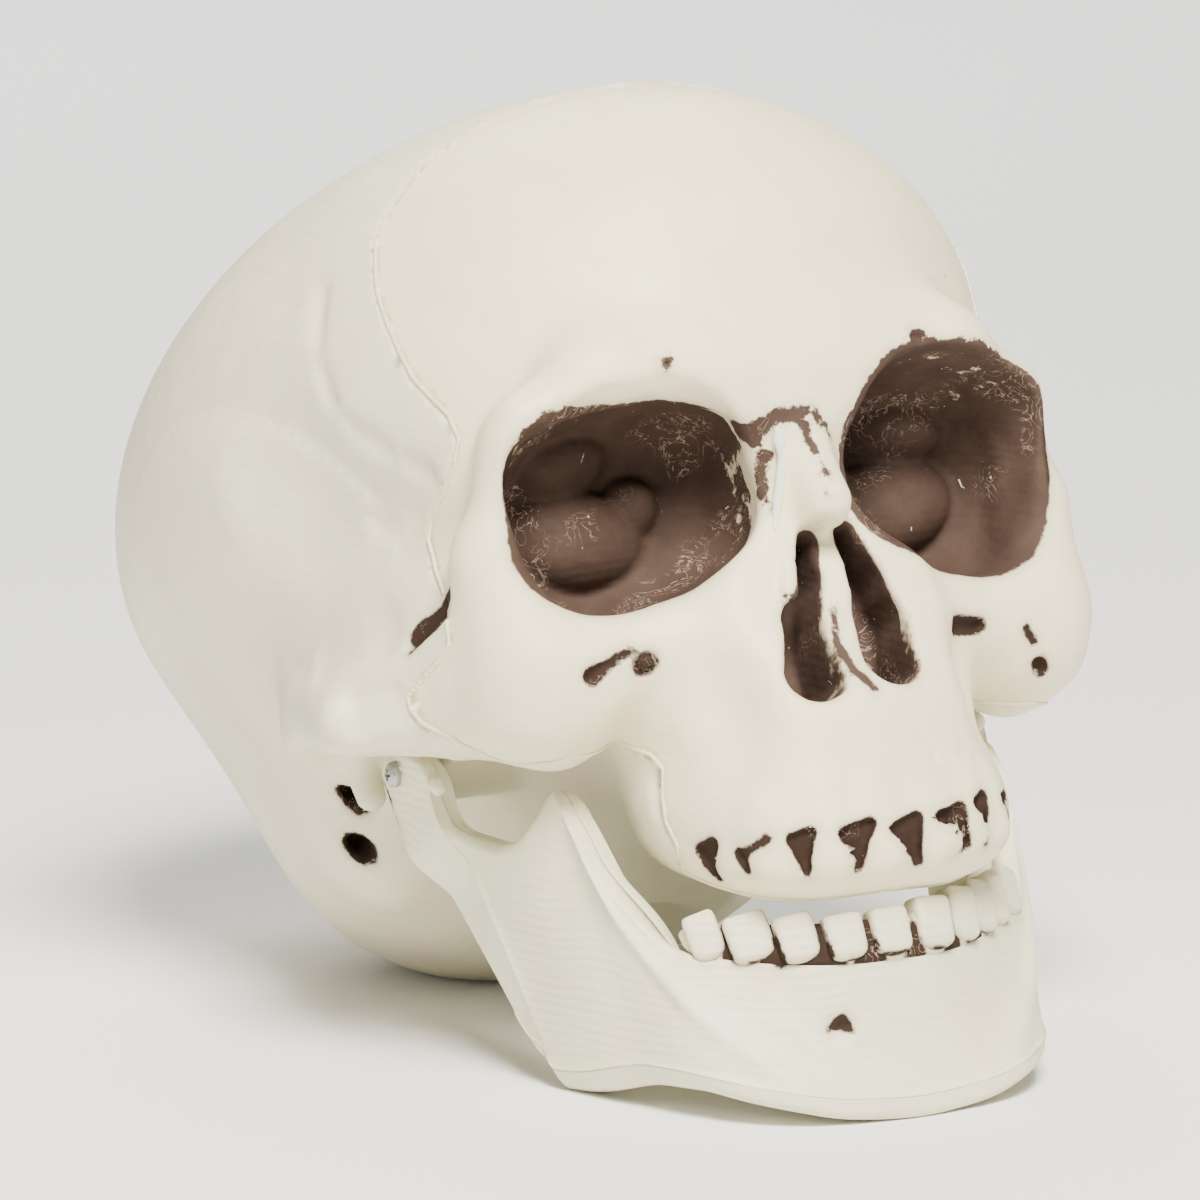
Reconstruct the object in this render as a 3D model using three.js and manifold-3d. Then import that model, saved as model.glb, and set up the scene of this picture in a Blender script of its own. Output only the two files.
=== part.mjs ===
// A life-size plastic skull whose lower jaw swings on two screws.
// The head is two thin moulded shells that meet on a parting line: a face shell and a brain case shell.
// The lower jaw is two half shells, an outer one that carries the lower teeth and an inner one.
// Everything is laid out in the skull's own level (side, fore, up from between the hinges' level)
// and then tilted back, so that the chin, the jaw's corners and the flat under the nape share one floor.
import * as THREE from 'three';
import { mergeVertices, toCreasedNormals } from 'three/addons/utils/BufferGeometryUtils.js';
import Module from 'manifold-3d';

// Driving sizes in millimetres; angles in degrees.
const skullLength = 189.4;
const skullWidth = 147;
const skullHeight = 150;
const headTilt = 27.18;
const blendReach = 10;
const shellWall = 2.6;
const partingGap = 0.3;
const seamBeadHeight = 0.4;
const seamBeadWidth = 1.6;
const upperGapWidth = 4.6;
const upperGapHeight = 7.4;
const upperGapDepth = 2.2;
const hingeBossRadius = 5.4;
const hingePlay = 0.45;
const earThickness = 4.4;
const ramusThickness = 6.4;
const coronoidThickness = 5.6;
const jawCrestThickness = 10;
const jawBodyThickness = 11;
const crestRounding = 2.2;
const rimBandHeight = 4.2;
const chinHollow = 1.6;
const lowerToothPitch = 8.1;
const lowerToothGap = 0.7;
const lowerToothHeight = 8.6;
const lowerToothDepth = 4.6;
const lowerToothProud = 1.6;
const lowerToothChamfer = 0.9;
const stopNubRadius = 1.9;
const screwHeadDiameter = 4.4;
const screwHeadHeight = 1.7;
const screwShankDiameter = 2.2;
const screwLength = 13;
const screwClearance = 0.3;
const crossRecessWidth = 0.75;
const crossRecessDepth = 0.8;

const degree = Math.PI / 180;
const half = 1 / 2;

// Places in the skull's level, as shares of its width, length and height.
const bodyShares = [
  ['brain case', 'add', 'egg', 0, [0, -0.003, 0.349], [0.5, 0.5, 0.371], [0, 4.6, 0], 2],
  ['back of the base', 'add', 'egg', 2, [0, -0.132, 0.053], [0.347, 0.256, 0.28], [0, 0, 0], 2.2],
  ['base', 'add', 'egg', 1.4, [0, 0.084, 0.013], [0.259, 0.296, 0.18], [0, 0, 0], 2],
  ['frontal', 'add', 'egg', 1.2, [0, 0.301, 0.24], [0.347, 0.164, 0.173], [0, 0, 0], 2],
  ['temple hollow', 'cut', 'egg', 1.2, [0.524, 0.211, 0.213], [0.088, 0.095, 0.16], [20, 0, 0], 2],
  ['brow', 'add', 'limb', 1, [0, 0.454, 0.24], [0.204, 0.444, 0.267], [0.044, 0.041]],
  ['upper jaw body', 'add', 'egg', 1, [0, 0.317, -0.053], [0.204, 0.143, 0.187], [0, 0, 0], 2],
];
const faceShares = [
  ['cheekbone', 'add', 'egg', 0.8, [0.293, 0.327, -0.047], [0.078, 0.061, 0.08], [0, 0, 0], 2],
  ['lower rim', 'add', 'limb', 0.8, [0.184, 0.38, -0.027], [0.306, 0.356, -0.033], [0.051, 0.048]],
  ['arch', 'add', 'limb', 1.2, [0.327, 0.317, -0.053], [0.408, 0.158, -0.02], [0.054, 0.054]],
  ['arch root', 'add', 'limb', 1.2, [0.408, 0.158, -0.02], [0.395, 0.042, 0.027], [0.054, 0.048]],
  ['web of the arch', 'add', 'egg', 1.4, [0.32, 0.169, 0.067], [0.109, 0.201, 0.093], [0, -4, 0], 2],
];
const toothArchShares = [
  ['tooth root arch', 'add', 'egg', 0.8, [0, 0.338, -0.147], [0.187, 0.15, 0.113], [0, -14, 0], 2.6],
  ['tooth crown arch', 'add', 'egg', 0.7, [0, 0.338, -0.227], [0.197, 0.145, 0.08], [0, -27, 0], 2.8],
  ['beside the nose', 'add', 'limb', 0.8, [0.061, 0.422, 0.187], [0.102, 0.412, -0.107], [0.041, 0.054]],
  ['nasal bones', 'add', 'limb', 0.7, [0, 0.438, 0.193], [0, 0.475, 0.067], [0.044, 0.037]],
  ['mastoid', 'add', 'egg', 1, [0.279, -0.063, -0.04], [0.061, 0.063, 0.1], [0, 0, 0], 2],
];
const underArchShares = [
  ['hollow under the arch', 'cut', 'limb', 0.5, [0.422, 0.396, -0.307], [0.442, 0.042, -0.107], [0.163, 0.116]],
];
const orbitShares = [
  ['orbit', 'cut', 'egg', 0.5, [0.211, 0.422, 0.127], [0.146, 0.127, 0.108], [22, 3, -8], 2.7],
  ['orbit depth', 'cut', 'limb', 0.8, [0.184, 0.348, 0.127], [0.116, 0.243, 0.113], [0.075, 0.041]],
];
const orbitRimShares = [
  ['side wall', 'add', 'egg', 0.8, [0.3163, 0.3274, 0.1533], [0.0306, 0.0528, 0.0667], [0, 0, 0], 2],
  ['outer brow', 'add', 'limb', 0.7, [0.245, 0.438, 0.253], [0.32, 0.407, 0.207], [0.037, 0.031]],
  ['side rim', 'add', 'limb', 0.7, [0.32, 0.407, 0.207], [0.356, 0.362, 0.1], [0.031, 0.029]],
  ['side rim foot', 'add', 'limb', 0.7, [0.356, 0.362, 0.1], [0.34, 0.354, -0.013], [0.029, 0.041]],
];
const noseShares = [
  ['nasal opening', 'cut', 'limb', 0.3, [0.031, 0.491, 0.02], [0.048, 0.444, -0.083], [0.029, 0.054]],
  ['nostril', 'cut', 'egg', 0.3, [0.041, 0.433, -0.093], [0.054, 0.116, 0.06], [0, 0, 0], 2],
];
const undersideShares = [
  ['palate', 'cut', 'egg', 0.4, [0, 0.3, -0.345], [0.118, 0.135, 0.068], [0, -27, 0], 2.4],
  ['way behind the nose', 'cut', 'egg', 0.4, [0.05, 0.2, -0.155], [0.04, 0.075, 0.06], [0, -35, 0], 2],
  ['nape opening', 'cut', 'egg', 0.4, [0, -0.09, -0.24], [0.092, 0.085, 0.085], [0, 0, 0], 2],
];
const condyleShares = [
  ['condyle', 'add', 'egg', 0.5, [0.085, -0.03, -0.175], [0.04, 0.058, 0.035], [14, 0, 0], 2],
];
const septumShares = ['septum', 'add', 'egg', 0.2, [0, 0.401, -0.047], [0.0116, 0.087, 0.117], [0, 0, 0], 2.5];

// The parting line round the face, seen from inside the head: shares of half a turn.
// The first number goes from straight down (0) to straight up (1), the second away from straight ahead.
const partingShares = [
  [0, 0.242], [0.044, 0.246], [0.089, 0.257], [0.12, 0.265], [0.142, 0.278], [0.162, 0.262],
  [0.176, 0.257], [0.188, 0.246], [0.202, 0.23], [0.217, 0.229], [0.233, 0.237], [0.25, 0.243],
  [0.267, 0.248], [0.286, 0.258], [0.3, 0.274], [0.317, 0.304], [0.341, 0.312], [0.363, 0.323],
  [0.382, 0.338], [0.397, 0.343], [0.408, 0.341], [0.415, 0.322], [0.422, 0.303], [0.431, 0.289],
  [0.461, 0.285], [0.499, 0.297], [0.522, 0.305], [0.54, 0.311], [0.558, 0.305], [0.573, 0.289],
  [0.597, 0.273], [0.622, 0.268], [0.644, 0.278], [0.674, 0.31], [0.694, 0.323], [0.731, 0.347],
  [0.767, 0.364], [0.811, 0.372], [0.847, 0.377], [0.894, 0.378], [0.944, 0.372], [1, 0.382],
];
const headCentreShares = [0, 0.0792, 0.1333];
const faceAxisDrop = 5;
const faceRings = 20;
const faceLinerRings = 5;
const brainRings = 10;
const brainLinerRings = 4;
const settlingRounds = 8;

// The lower jaw, from the back of the ear to the middle of the chin: a place on the upper edge,
// the place on the lower rim that its column runs down to, and the thickness at each.
const jawShares = [
  [[0.3639, 0.0757, -0.0401], [0.2959, 0.1331, -0.3659], 'ear', 'ramus'],
  [[0.3639, 0.0971, -0.024], [0.2925, 0.1376, -0.3913], 'ear', 'ramus'],
  [[0.3639, 0.136, -0.0305], [0.2891, 0.1422, -0.4092], 'ear', 'ramus'],
  [[0.3605, 0.1664, -0.0652], [0.2857, 0.1515, -0.4228], 'ear', 'ramus'],
  [[0.3537, 0.1661, -0.1024], [0.2823, 0.1561, -0.4482], 'ear', 'ramus'],
  [[0.3401, 0.1681, -0.1412], [0.2789, 0.1701, -0.4573], 'coronoid', 'ramus'],
  [[0.3299, 0.1915, -0.1714], [0.2721, 0.1956, -0.4678], 'coronoid', 'ramus'],
  [[0.3197, 0.2233, -0.1807], [0.2653, 0.2219, -0.4759], 'coronoid', 'ramus'],
  [[0.3061, 0.2506, -0.1647], [0.2585, 0.2431, -0.4821], 'coronoid', 'ramus'],
  [[0.2925, 0.2732, -0.1456], [0.2483, 0.2695, -0.4902], 'coronoid', 'body'],
  [[0.2857, 0.2847, -0.1756], [0.2381, 0.294, -0.5031], 'coronoid', 'body'],
  [[0.2721, 0.2971, -0.2473], [0.2245, 0.3177, -0.5177], 'ramus', 'body'],
  [[0.2449, 0.3201, -0.3222], [0.2075, 0.34, -0.5359], 'crest', 'body'],
  [[0.2177, 0.3351, -0.3582], [0.1837, 0.3594, -0.5538], 'crest', 'body'],
  [[0.1769, 0.3574, -0.3764], [0.1497, 0.3758, -0.5719], 'crest', 'body'],
  [[0.1293, 0.3827, -0.3943], [0.1054, 0.3844, -0.5872], 'crest', 'body'],
  [[0.068, 0.4039, -0.408], [0.0544, 0.3886, -0.5959], 'crest', 'body'],
  [[0, 0.4114, -0.4114], [0, 0.39, -0.5998], 'crest', 'body'],
];
const jawThickness = {
  ear: earThickness,
  ramus: ramusThickness,
  coronoid: coronoidThickness,
  crest: jawCrestThickness,
  body: jawBodyThickness,
};
// Where the columns stand between the table's places, counted in places from the back of the ear.
const columnShares = [
  0, 0.3, 1, 2, 2.5, 3, 4, 5, 6, 7, 8, 9, 9.5, 10, 11, 12, 13, 14, 15, 16, 17,
];
// Rows of a jaw half shell, from the lower parting line to the upper one. Each row gives the height of
// its place on the parting sheet, the height of its place on the outer and inner faces, how much of the
// band below the parting line the inner face still hangs down, and how far the face stands out.
const jawRowShares = [
  { sheet: 0, outer: 0, inner: 0, hang: 0, out: 0, round: 0 },
  { sheet: 0.04, outer: 0.04, inner: 0, hang: 0.8, out: 0.12, round: 0 },
  { sheet: 0.09, outer: 0.09, inner: 0, hang: 1, out: 0.5, round: 0 },
  { sheet: 0.16, outer: 0.16, inner: 0, hang: 0.7, out: 0.93, round: 0 },
  { sheet: 0.3, outer: 0.3, inner: 0.14, hang: 0, out: 1, round: 0 },
  { sheet: 0.47, outer: 0.47, inner: 0.38, hang: 0, out: 1, round: 0 },
  { sheet: 0.64, outer: 0.64, inner: 0.6, hang: 0, out: 1, round: 0 },
  { sheet: 0.78, outer: 0.8, inner: 0.8, hang: 0, out: 1, round: 0 },
  { sheet: 0.87, outer: 1, inner: 1, hang: 0, out: 1, round: 1 },
  { sheet: 0.95, outer: 1, inner: 1, hang: 0, out: 1, round: 0.2 },
  { sheet: 1, outer: 1, inner: 1, hang: 0, out: 0, round: 0 },
];

const hingeShares = [0.3347, 0.11361, -0.05193];
const hingeBossRootShare = 0.235;
const earPocketShares = { centre: [0.127, -0.0667], reach: [0.0845, 0.0633], outside: 0.386 };
const stopNubShares = [0, 0.1718, -0.0942];
const upperGapTopShares = [
  [0.1884, 0.4007, -0.2583],
  [0.1537, 0.445, -0.2616],
  [0.1109, 0.4647, -0.2773],
  [0.0551, 0.4737, -0.2757],
  [0, 0.4747, -0.2688],
];
const upperGapBottomShares = [
  [0.1837, 0.3699, -0.2901],
  [0.1714, 0.4183, -0.2952],
  [0.1245, 0.4467, -0.3144],
  [0.0639, 0.4553, -0.3282],
  [0, 0.4644, -0.3176],
];
const upperGapNarrowShare = 0.2;
const lowerToothTaperShare = 0.78;
const lowerTeethPerSide = 5;

const creamPlastic = new THREE.MeshStandardMaterial({ color: '#e6e2d6', roughness: 0.55, metalness: 0 });
const casePlastic = new THREE.MeshStandardMaterial({ color: '#dfded1', roughness: 0.55, metalness: 0 });
const jawPlastic = new THREE.MeshStandardMaterial({ color: '#d9d9cd', roughness: 0.55, metalness: 0 });
const innerJawPlastic = new THREE.MeshStandardMaterial({ color: '#d3d3c8', roughness: 0.6, metalness: 0 });
const screwSteel = new THREE.MeshStandardMaterial({ color: '#8d8b87', roughness: 0.35, metalness: 1 });

const wasm = await Module();
wasm.setup();

const plus = (a, b) => [a[0] + b[0], a[1] + b[1], a[2] + b[2]];
const minus = (a, b) => [a[0] - b[0], a[1] - b[1], a[2] - b[2]];
const times = (a, s) => [a[0] * s, a[1] * s, a[2] * s];
const dot = (a, b) => a[0] * b[0] + a[1] * b[1] + a[2] * b[2];
const cross = (a, b) => [a[1] * b[2] - a[2] * b[1], a[2] * b[0] - a[0] * b[2], a[0] * b[1] - a[1] * b[0]];
const span = (a) => Math.hypot(...a);
const unit = (a) => times(a, 1 / span(a));
const mix = (a, b, t) => plus(times(a, 1 - t), times(b, t));
const place = (share) => [share[0] * skullWidth, share[1] * skullLength, share[2] * skullHeight];
const upInLevel = [0, Math.sin(headTilt * degree), Math.cos(headTilt * degree)];

// The head's form: rounded eggs and tapering limbs, added and cut with soft blends.

// The three axes of a turned egg: yaw to the side, pitch up, roll.
function turnedAxes([yaw, pitch, roll]) {
  const [cy, sy] = [Math.cos(yaw * degree), Math.sin(yaw * degree)];
  const [cp, sp] = [Math.cos(pitch * degree), Math.sin(pitch * degree)];
  const [cr, sr] = [Math.cos(roll * degree), Math.sin(roll * degree)];
  const fore = [sy * cp, cy * cp, sp];
  const side = [cy * cr - sy * sp * sr, -sy * cr - cy * sp * sr, cp * sr];
  return [side, fore, cross(side, fore)];
}

function shapeOf([, action, kind, blend, first, second, third, power]) {
  const shape = { action, blend: blend * blendReach, kind };
  if (kind === 'egg')
    return { ...shape, centre: place(first), reach: place(second), axes: turnedAxes(third), power };
  const from = place(first);
  const along = minus(place(second), from);
  const radii = times([...third, 0], skullWidth);
  return { ...shape, from, along, square: dot(along, along), radii };
}

function eggDistance({ centre, reach, axes, power }, p) {
  const [x, y, z] = [p[0] - centre[0], p[1] - centre[1], p[2] - centre[2]];
  const [side, fore, above] = axes;
  const a = Math.abs(x * side[0] + y * side[1] + z * side[2]) / reach[0] + 1e-6;
  const b = Math.abs(x * fore[0] + y * fore[1] + z * fore[2]) / reach[1] + 1e-6;
  const c = Math.abs(x * above[0] + y * above[1] + z * above[2]) / reach[2] + 1e-6;
  if (power === 2) {
    const size = Math.sqrt(a * a + b * b + c * c);
    const slope = Math.sqrt((a / reach[0]) ** 2 + (b / reach[1]) ** 2 + (c / reach[2]) ** 2);
    return (size * (size - 1)) / slope;
  }
  const [u, v, w] = [a ** (power - 1), b ** (power - 1), c ** (power - 1)];
  const sum = u * a + v * b + w * c;
  const size = sum ** (1 / power);
  const slope = (Math.sqrt((u / reach[0]) ** 2 + (v / reach[1]) ** 2 + (w / reach[2]) ** 2) * size) / sum;
  return (size - 1) / slope;
}

function limbDistance({ from, along, square, radii }, p) {
  const [x, y, z] = [p[0] - from[0], p[1] - from[1], p[2] - from[2]];
  const t = Math.min(Math.max((x * along[0] + y * along[1] + z * along[2]) / square, 0), 1);
  const [u, v, w] = [x - t * along[0], y - t * along[1], z - t * along[2]];
  return Math.sqrt(u * u + v * v + w * w) - (radii[0] + (radii[1] - radii[0]) * t);
}

function distance(shapes, p) {
  let d = Infinity;
  for (const shape of shapes) {
    const e = shape.kind === 'egg' ? eggDistance(shape, p) : limbDistance(shape, p);
    const k = shape.blend;
    if (d === Infinity) d = e;
    else if (shape.action === 'add') d = Math.min(d, e) - Math.max(k - Math.abs(d - e), 0) ** 2 / (4 * k);
    else d = Math.max(d, -e) + Math.max(k - Math.abs(d + e), 0) ** 2 / (4 * k);
  }
  return d;
}

const rowsOf = (...tables) => tables.flat().map(shapeOf);
const hollowShares = [...underArchShares, ...orbitShares, ...noseShares, ...undersideShares];
const outsideShapes = rowsOf(bodyShares, faceShares, toothArchShares, orbitRimShares, condyleShares);
const linerShapes = rowsOf(bodyShares);
const midlineSoftness = skullWidth * 0.0096;
const outside = (p) => distance(outsideShapes, [Math.hypot(p[0], midlineSoftness), p[1], p[2]]);

function liner(p) {
  return distance(linerShapes, [Math.hypot(p[0], midlineSoftness), p[1], p[2]]) + shellWall;
}

// Rays from the middle of the head, which lay out both shells.
const headCentre = place(headCentreShares);
const faceFore = [0, Math.cos(faceAxisDrop * degree), -Math.sin(faceAxisDrop * degree)];
const faceUp = [0, Math.sin(faceAxisDrop * degree), Math.cos(faceAxisDrop * degree)];

function rayToward(turn, swing) {
  const ring = [Math.sin(turn), 0, 0];
  const spoke = minus(ring, times(faceUp, Math.cos(turn)));
  return plus(times(faceFore, Math.cos(swing)), times(spoke, Math.sin(swing)));
}

// The last crossing of the outside surface, and the first of the liner.
const stride = 0.55;
const nearEnough = skullWidth * 1e-4;
function outerPoint(direction) {
  let reach = skullLength * 0.75;
  for (let step = 0; step < 400; step += 1) {
    const d = outside(plus(headCentre, times(direction, reach)));
    if (d < nearEnough) break;
    reach -= d * stride;
  }
  return plus(headCentre, times(direction, reach));
}

function innerPoint(direction) {
  let reach = 0;
  for (let step = 0; step < 400; step += 1) {
    const d = liner(plus(headCentre, times(direction, reach)));
    if (d > -nearEnough) break;
    reach -= d * stride;
  }
  return plus(headCentre, times(direction, reach));
}

function gradient(p) {
  const e = skullWidth * 1e-3;
  const g = [0, 1, 2].map((i) => {
    const step = [0, 0, 0];
    step[i] = e;
    return (outside(plus(p, step)) - outside(minus(p, step))) / (2 * e);
  });
  return g;
}

// A short step toward the outside surface along the slope.
const longestStep = skullWidth * 0.015;
function settle(p) {
  const g = gradient(p);
  const far = outside(p) / Math.max(dot(g, g), half * half);
  return minus(p, times(g, Math.max(Math.min(far, longestStep), -longestStep)));
}

const firstHalf = partingShares.map(([turn, swing]) => [-turn * Math.PI, swing * Math.PI]);
const secondHalf = firstHalf.slice(1, -1).reverse().map(([turn, swing]) => [-turn, swing]);
const spokes = [...firstHalf, ...secondHalf];
const spokeCount = spokes.length;

const seamRays = spokes.map(([turn, swing]) => rayToward(turn, swing));
const seamSideways = seamRays.map((ray, i) => {
  const ahead = seamRays[(i + 1) % spokeCount];
  const behind = seamRays[(i + spokeCount - 1) % spokeCount];
  const out = unit(cross(minus(ahead, behind), ray));
  const side = dot(out, faceFore) < 0 ? -1 : 1;
  const bend = Math.max(span(cross(out, unit(cross(minus(ahead, ray), ray)))), 0);
  return times(out, side * (1 + bend * half));
});

// A ray beside the parting line: half the gap to the face's side (1) or to the brain case's side (-1).
function besideSeam(i, pointOf, side) {
  const first = pointOf(seamRays[i]);
  const reach = span(minus(first, headCentre));
  const shifted = plus(times(seamRays[i], reach), times(seamSideways[i], side * partingGap * half));
  return pointOf(unit(shifted));
}

// The rings of one shell's outer skin, from the pole to the parting line, settled to even spacing.
function outerRings(count, poleSwing, side) {
  const pole = outerPoint(rayToward(0, poleSwing));
  const rings = [];
  for (let j = 1; j <= count; j += 1) {
    const ring = spokes.map(([turn, swing], i) => {
      if (j === count) return besideSeam(i, outerPoint, side);
      const t = j / count;
      return outerPoint(rayToward(turn, poleSwing + (swing - poleSwing) * t));
    });
    rings.push(ring);
  }
  for (let round = 0; round < settlingRounds; round += 1) {
    const before = rings.map((ring) => ring.slice());
    for (let j = 0; j < count - 1; j += 1) {
      for (let i = 0; i < spokeCount; i += 1) {
        const inward = j ? before[j - 1][i] : pole;
        const left = before[j][(i + spokeCount - 1) % spokeCount];
        const right = before[j][(i + 1) % spokeCount];
        const along = times(plus(inward, before[j + 1][i]), half);
        const across = times(plus(left, right), half);
        const even = mix(along, across, j ? half * half : 0);
        rings[j][i] = settle(settle(mix(before[j][i], even, half)));
      }
    }
  }
  return { pole, rings };
}

function innerRings(count, poleSwing, side) {
  const pole = innerPoint(rayToward(0, poleSwing));
  const rings = [];
  for (let j = 1; j <= count; j += 1) {
    rings.push(spokes.map(([turn, swing], i) => {
      if (j === count) return besideSeam(i, innerPoint, side);
      return innerPoint(rayToward(turn, poleSwing + (swing - poleSwing) * (j / count)));
    }));
  }
  return { pole, rings };
}

// The parting line stands up as a fine bead: the last rings of the outer skin are lifted.
function beaded(rings, count) {
  const rim = rings[count - 1];
  return rings.slice(0, count - 1).concat(
    [rim.map((p, i) => {
      const inward = unit(minus(rings[count - 2][i], p));
      return plus(p, times(inward, seamBeadWidth));
    })],
    [rim.map((p) => plus(p, times(unit(minus(p, headCentre)), seamBeadHeight)))],
  );
}

// A closed body from a first point, rings of equal count and a last point.
function closedBody(first, rings, last) {
  const count = rings[0].length;
  const points = [first, ...rings.flat(), last];
  const triangles = [];
  const at = (j, i) => 1 + j * count + (i % count);
  for (let i = 0; i < count; i += 1) triangles.push(0, at(0, i), at(0, i + 1));
  for (let j = 0; j + 1 < rings.length; j += 1) {
    for (let i = 0; i < count; i += 1) {
      triangles.push(at(j, i), at(j + 1, i), at(j + 1, i + 1));
      triangles.push(at(j, i), at(j + 1, i + 1), at(j, i + 1));
    }
  }
  const end = points.length - 1;
  for (let i = 0; i < count; i += 1) triangles.push(at(rings.length - 1, i), end, at(rings.length - 1, i + 1));
  return { points, triangles };
}

function toSolid({ points, triangles }) {
  const mesh = new wasm.Mesh({
    numProp: 3,
    vertProperties: new Float32Array(points.flat()),
    triVerts: new Uint32Array(triangles),
  });
  return new wasm.Manifold(mesh);
}

// The same eggs and limbs as solids, for the hollows cut into the shells.
const facets = 14;
const capSteps = 4;

function eggSolid(shape, mirror) {
  const { centre, reach, axes, power } = shape;
  const at = (turn, tilt) => {
    const d = [Math.cos(tilt) * Math.cos(turn), Math.sin(tilt), Math.cos(tilt) * Math.sin(turn)];
    const size = d.reduce((total, v) => total + Math.abs(v) ** power, 0) ** (1 / power);
    const p = axes.reduce((sum, axis, i) => plus(sum, times(axis, (d[i] * reach[i]) / size)), centre);
    return [p[0] * mirror, p[1], p[2]];
  };
  const rings = [];
  const levels = facets * half;
  for (let j = 1; j < levels; j += 1) {
    const tilt = Math.PI * (j / levels - half);
    rings.push(Array.from({ length: facets }, (_, i) => at((i * 2 * Math.PI * mirror) / facets, tilt)));
  }
  return toSolid(closedBody(at(0, -Math.PI * half), rings, at(0, Math.PI * half)));
}

function limbSolid({ from, along, radii }, mirror) {
  const axis = unit(along);
  const first = unit(cross(axis, [1, 0, 0]));
  const second = cross(axis, first);
  const stations = [];
  for (let j = 1; j <= capSteps; j += 1) stations.push([0, (j / capSteps - 1) * Math.PI * half, radii[0]]);
  for (let j = 0; j < capSteps; j += 1) stations.push([1, (j / capSteps) * Math.PI * half, radii[1]]);
  const flip = (p) => [p[0] * mirror, p[1], p[2]];
  const rings = stations.map(([t, tilt, r]) => Array.from({ length: facets }, (_, i) => {
    const turn = (-i * 2 * Math.PI * mirror) / facets;
    const spoke = plus(times(first, Math.cos(turn)), times(second, Math.sin(turn)));
    const middle = plus(plus(from, times(along, t)), times(axis, r * Math.sin(tilt)));
    return flip(plus(middle, times(spoke, r * Math.cos(tilt))));
  }));
  const start = flip(minus(from, times(axis, radii[0])));
  return toSolid(closedBody(start, rings, flip(plus(plus(from, along), times(axis, radii[1])))));
}

function mirroredSolids(shape) {
  const middle = shape.kind === 'egg' && shape.centre[0] === 0;
  const solidOf = shape.kind === 'egg' ? eggSolid : limbSolid;
  return (middle ? [1] : [1, -1]).map((mirror) => solidOf(shape, mirror));
}

function grown(shape) {
  const wider = (radii) => radii.map((radius) => radius + shellWall);
  return shape.kind === 'egg' ? { ...shape, reach: wider(shape.reach) } : { ...shape, radii: wider(shape.radii) };
}

// The moulded piece itself, without any loose chip that two hollows leave between them.
function oneBody(solid) {
  return solid.decompose().reduce((most, body) => (body.volume() > most.volume() ? body : most));
}

// Where a hollow reaches into the cavity, it keeps a wall of its own round it.
const hollows = rowsOf(hollowShares).flatMap(mirroredSolids);
const hollowWalls = rowsOf(hollowShares).map(grown).flatMap(mirroredSolids);
function hollowed(shell, cavity) {
  const walled = hollowWalls.reduce((solid, wall) => solid.add(wall.intersect(cavity)), shell);
  return oneBody(hollows.reduce((solid, hollow) => solid.subtract(hollow), walled));
}

// The lower jaw's two half shells are laid out by columns from one ear to the other.
// A smooth run through a table's values at a place counted in rows, mirrored past the chin.
function through(values, t) {
  const last = values.length - 1;
  const read = (i) => {
    if (i < 0) return minus(times(values[0], 2), values[1]);
    if (i > last) return [-values[2 * last - i][0], values[2 * last - i][1], values[2 * last - i][2]];
    return values[i];
  };
  const i = Math.min(Math.floor(t), last);
  const u = t - i;
  const [a, b, c, d] = [read(i - 1), read(i), read(i + 1), read(i + 2)];
  const terms = [
    times(b, 2),
    times(minus(c, a), u),
    times(plus(minus(times(a, 2), times(b, 5)), minus(times(c, 4), d)), u * u),
    times(plus(minus(times(b, 3), a), minus(d, times(c, 3))), u * u * u),
  ];
  return times(terms.reduce(plus), half);
}

const edgePlaces = jawShares.map((row) => place(row[0]));
const rimPlaces = jawShares.map((row) => place(row[1]));
const thicknessPairs = jawShares.map((row) => [0, jawThickness[row[2]], jawThickness[row[3]]]);
const chinPlace = jawShares.length - 1;

function jawColumn(t) {
  const mirrored = t > chinPlace;
  const s = mirrored ? 2 * chinPlace - t : t;
  const side = mirrored ? 1 : -1;
  const flip = (p) => [side * p[0], p[1], p[2]];
  const edge = through(edgePlaces, s);
  const rim = through(rimPlaces, s);
  const step = half * half;
  const low = Math.max(s - step, 0);
  const high = s + step;
  const middle = (v) => times(plus(through(edgePlaces, v), through(rimPlaces, v)), half);
  const forward = minus(middle(high), middle(low));
  const upward = unit(minus(edge, rim));
  const outward = unit(cross(upward, forward));
  const [, edgeThickness, rimThickness] = through(thicknessPairs, s);
  const front = Math.max((s - chinPlace * 0.7) / (chinPlace * 0.3), 0);
  return {
    edge: flip(edge),
    rim: flip(rim),
    upward: flip(upward),
    outward: flip(dot(outward, [1, half, 0]) < 0 ? times(outward, -1) : outward),
    edgeThickness,
    rimThickness,
    hollow: chinHollow * front,
  };
}

const columnPlaces = [...columnShares, ...columnShares.slice(0, -1).reverse().map((t) => 2 * chinPlace - t)];
const columns = columnPlaces.map(jawColumn);
const lastColumn = columns.length - 1;

// How far a column stands in from the back edge, against the thickness there: a quarter round.
columns.forEach((column, i) => {
  const end = i * 2 < lastColumn ? 0 : lastColumn;
  const away = span(minus(column.edge, columns[end].edge));
  const t = Math.min(away / (column.edgeThickness * half), 1);
  column.round = Math.sqrt(Math.max(1 - (1 - t) ** 2, 0));
});

// The ear stands upright round the hinge, and the jaw leans in to it below.
const hinge = place(hingeShares);
const earOutside = hinge[0] + hingePlay + earThickness;
const earFlatFrom = skullLength * 0.07;
const earFlatTo = skullLength * 0.12;

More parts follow.
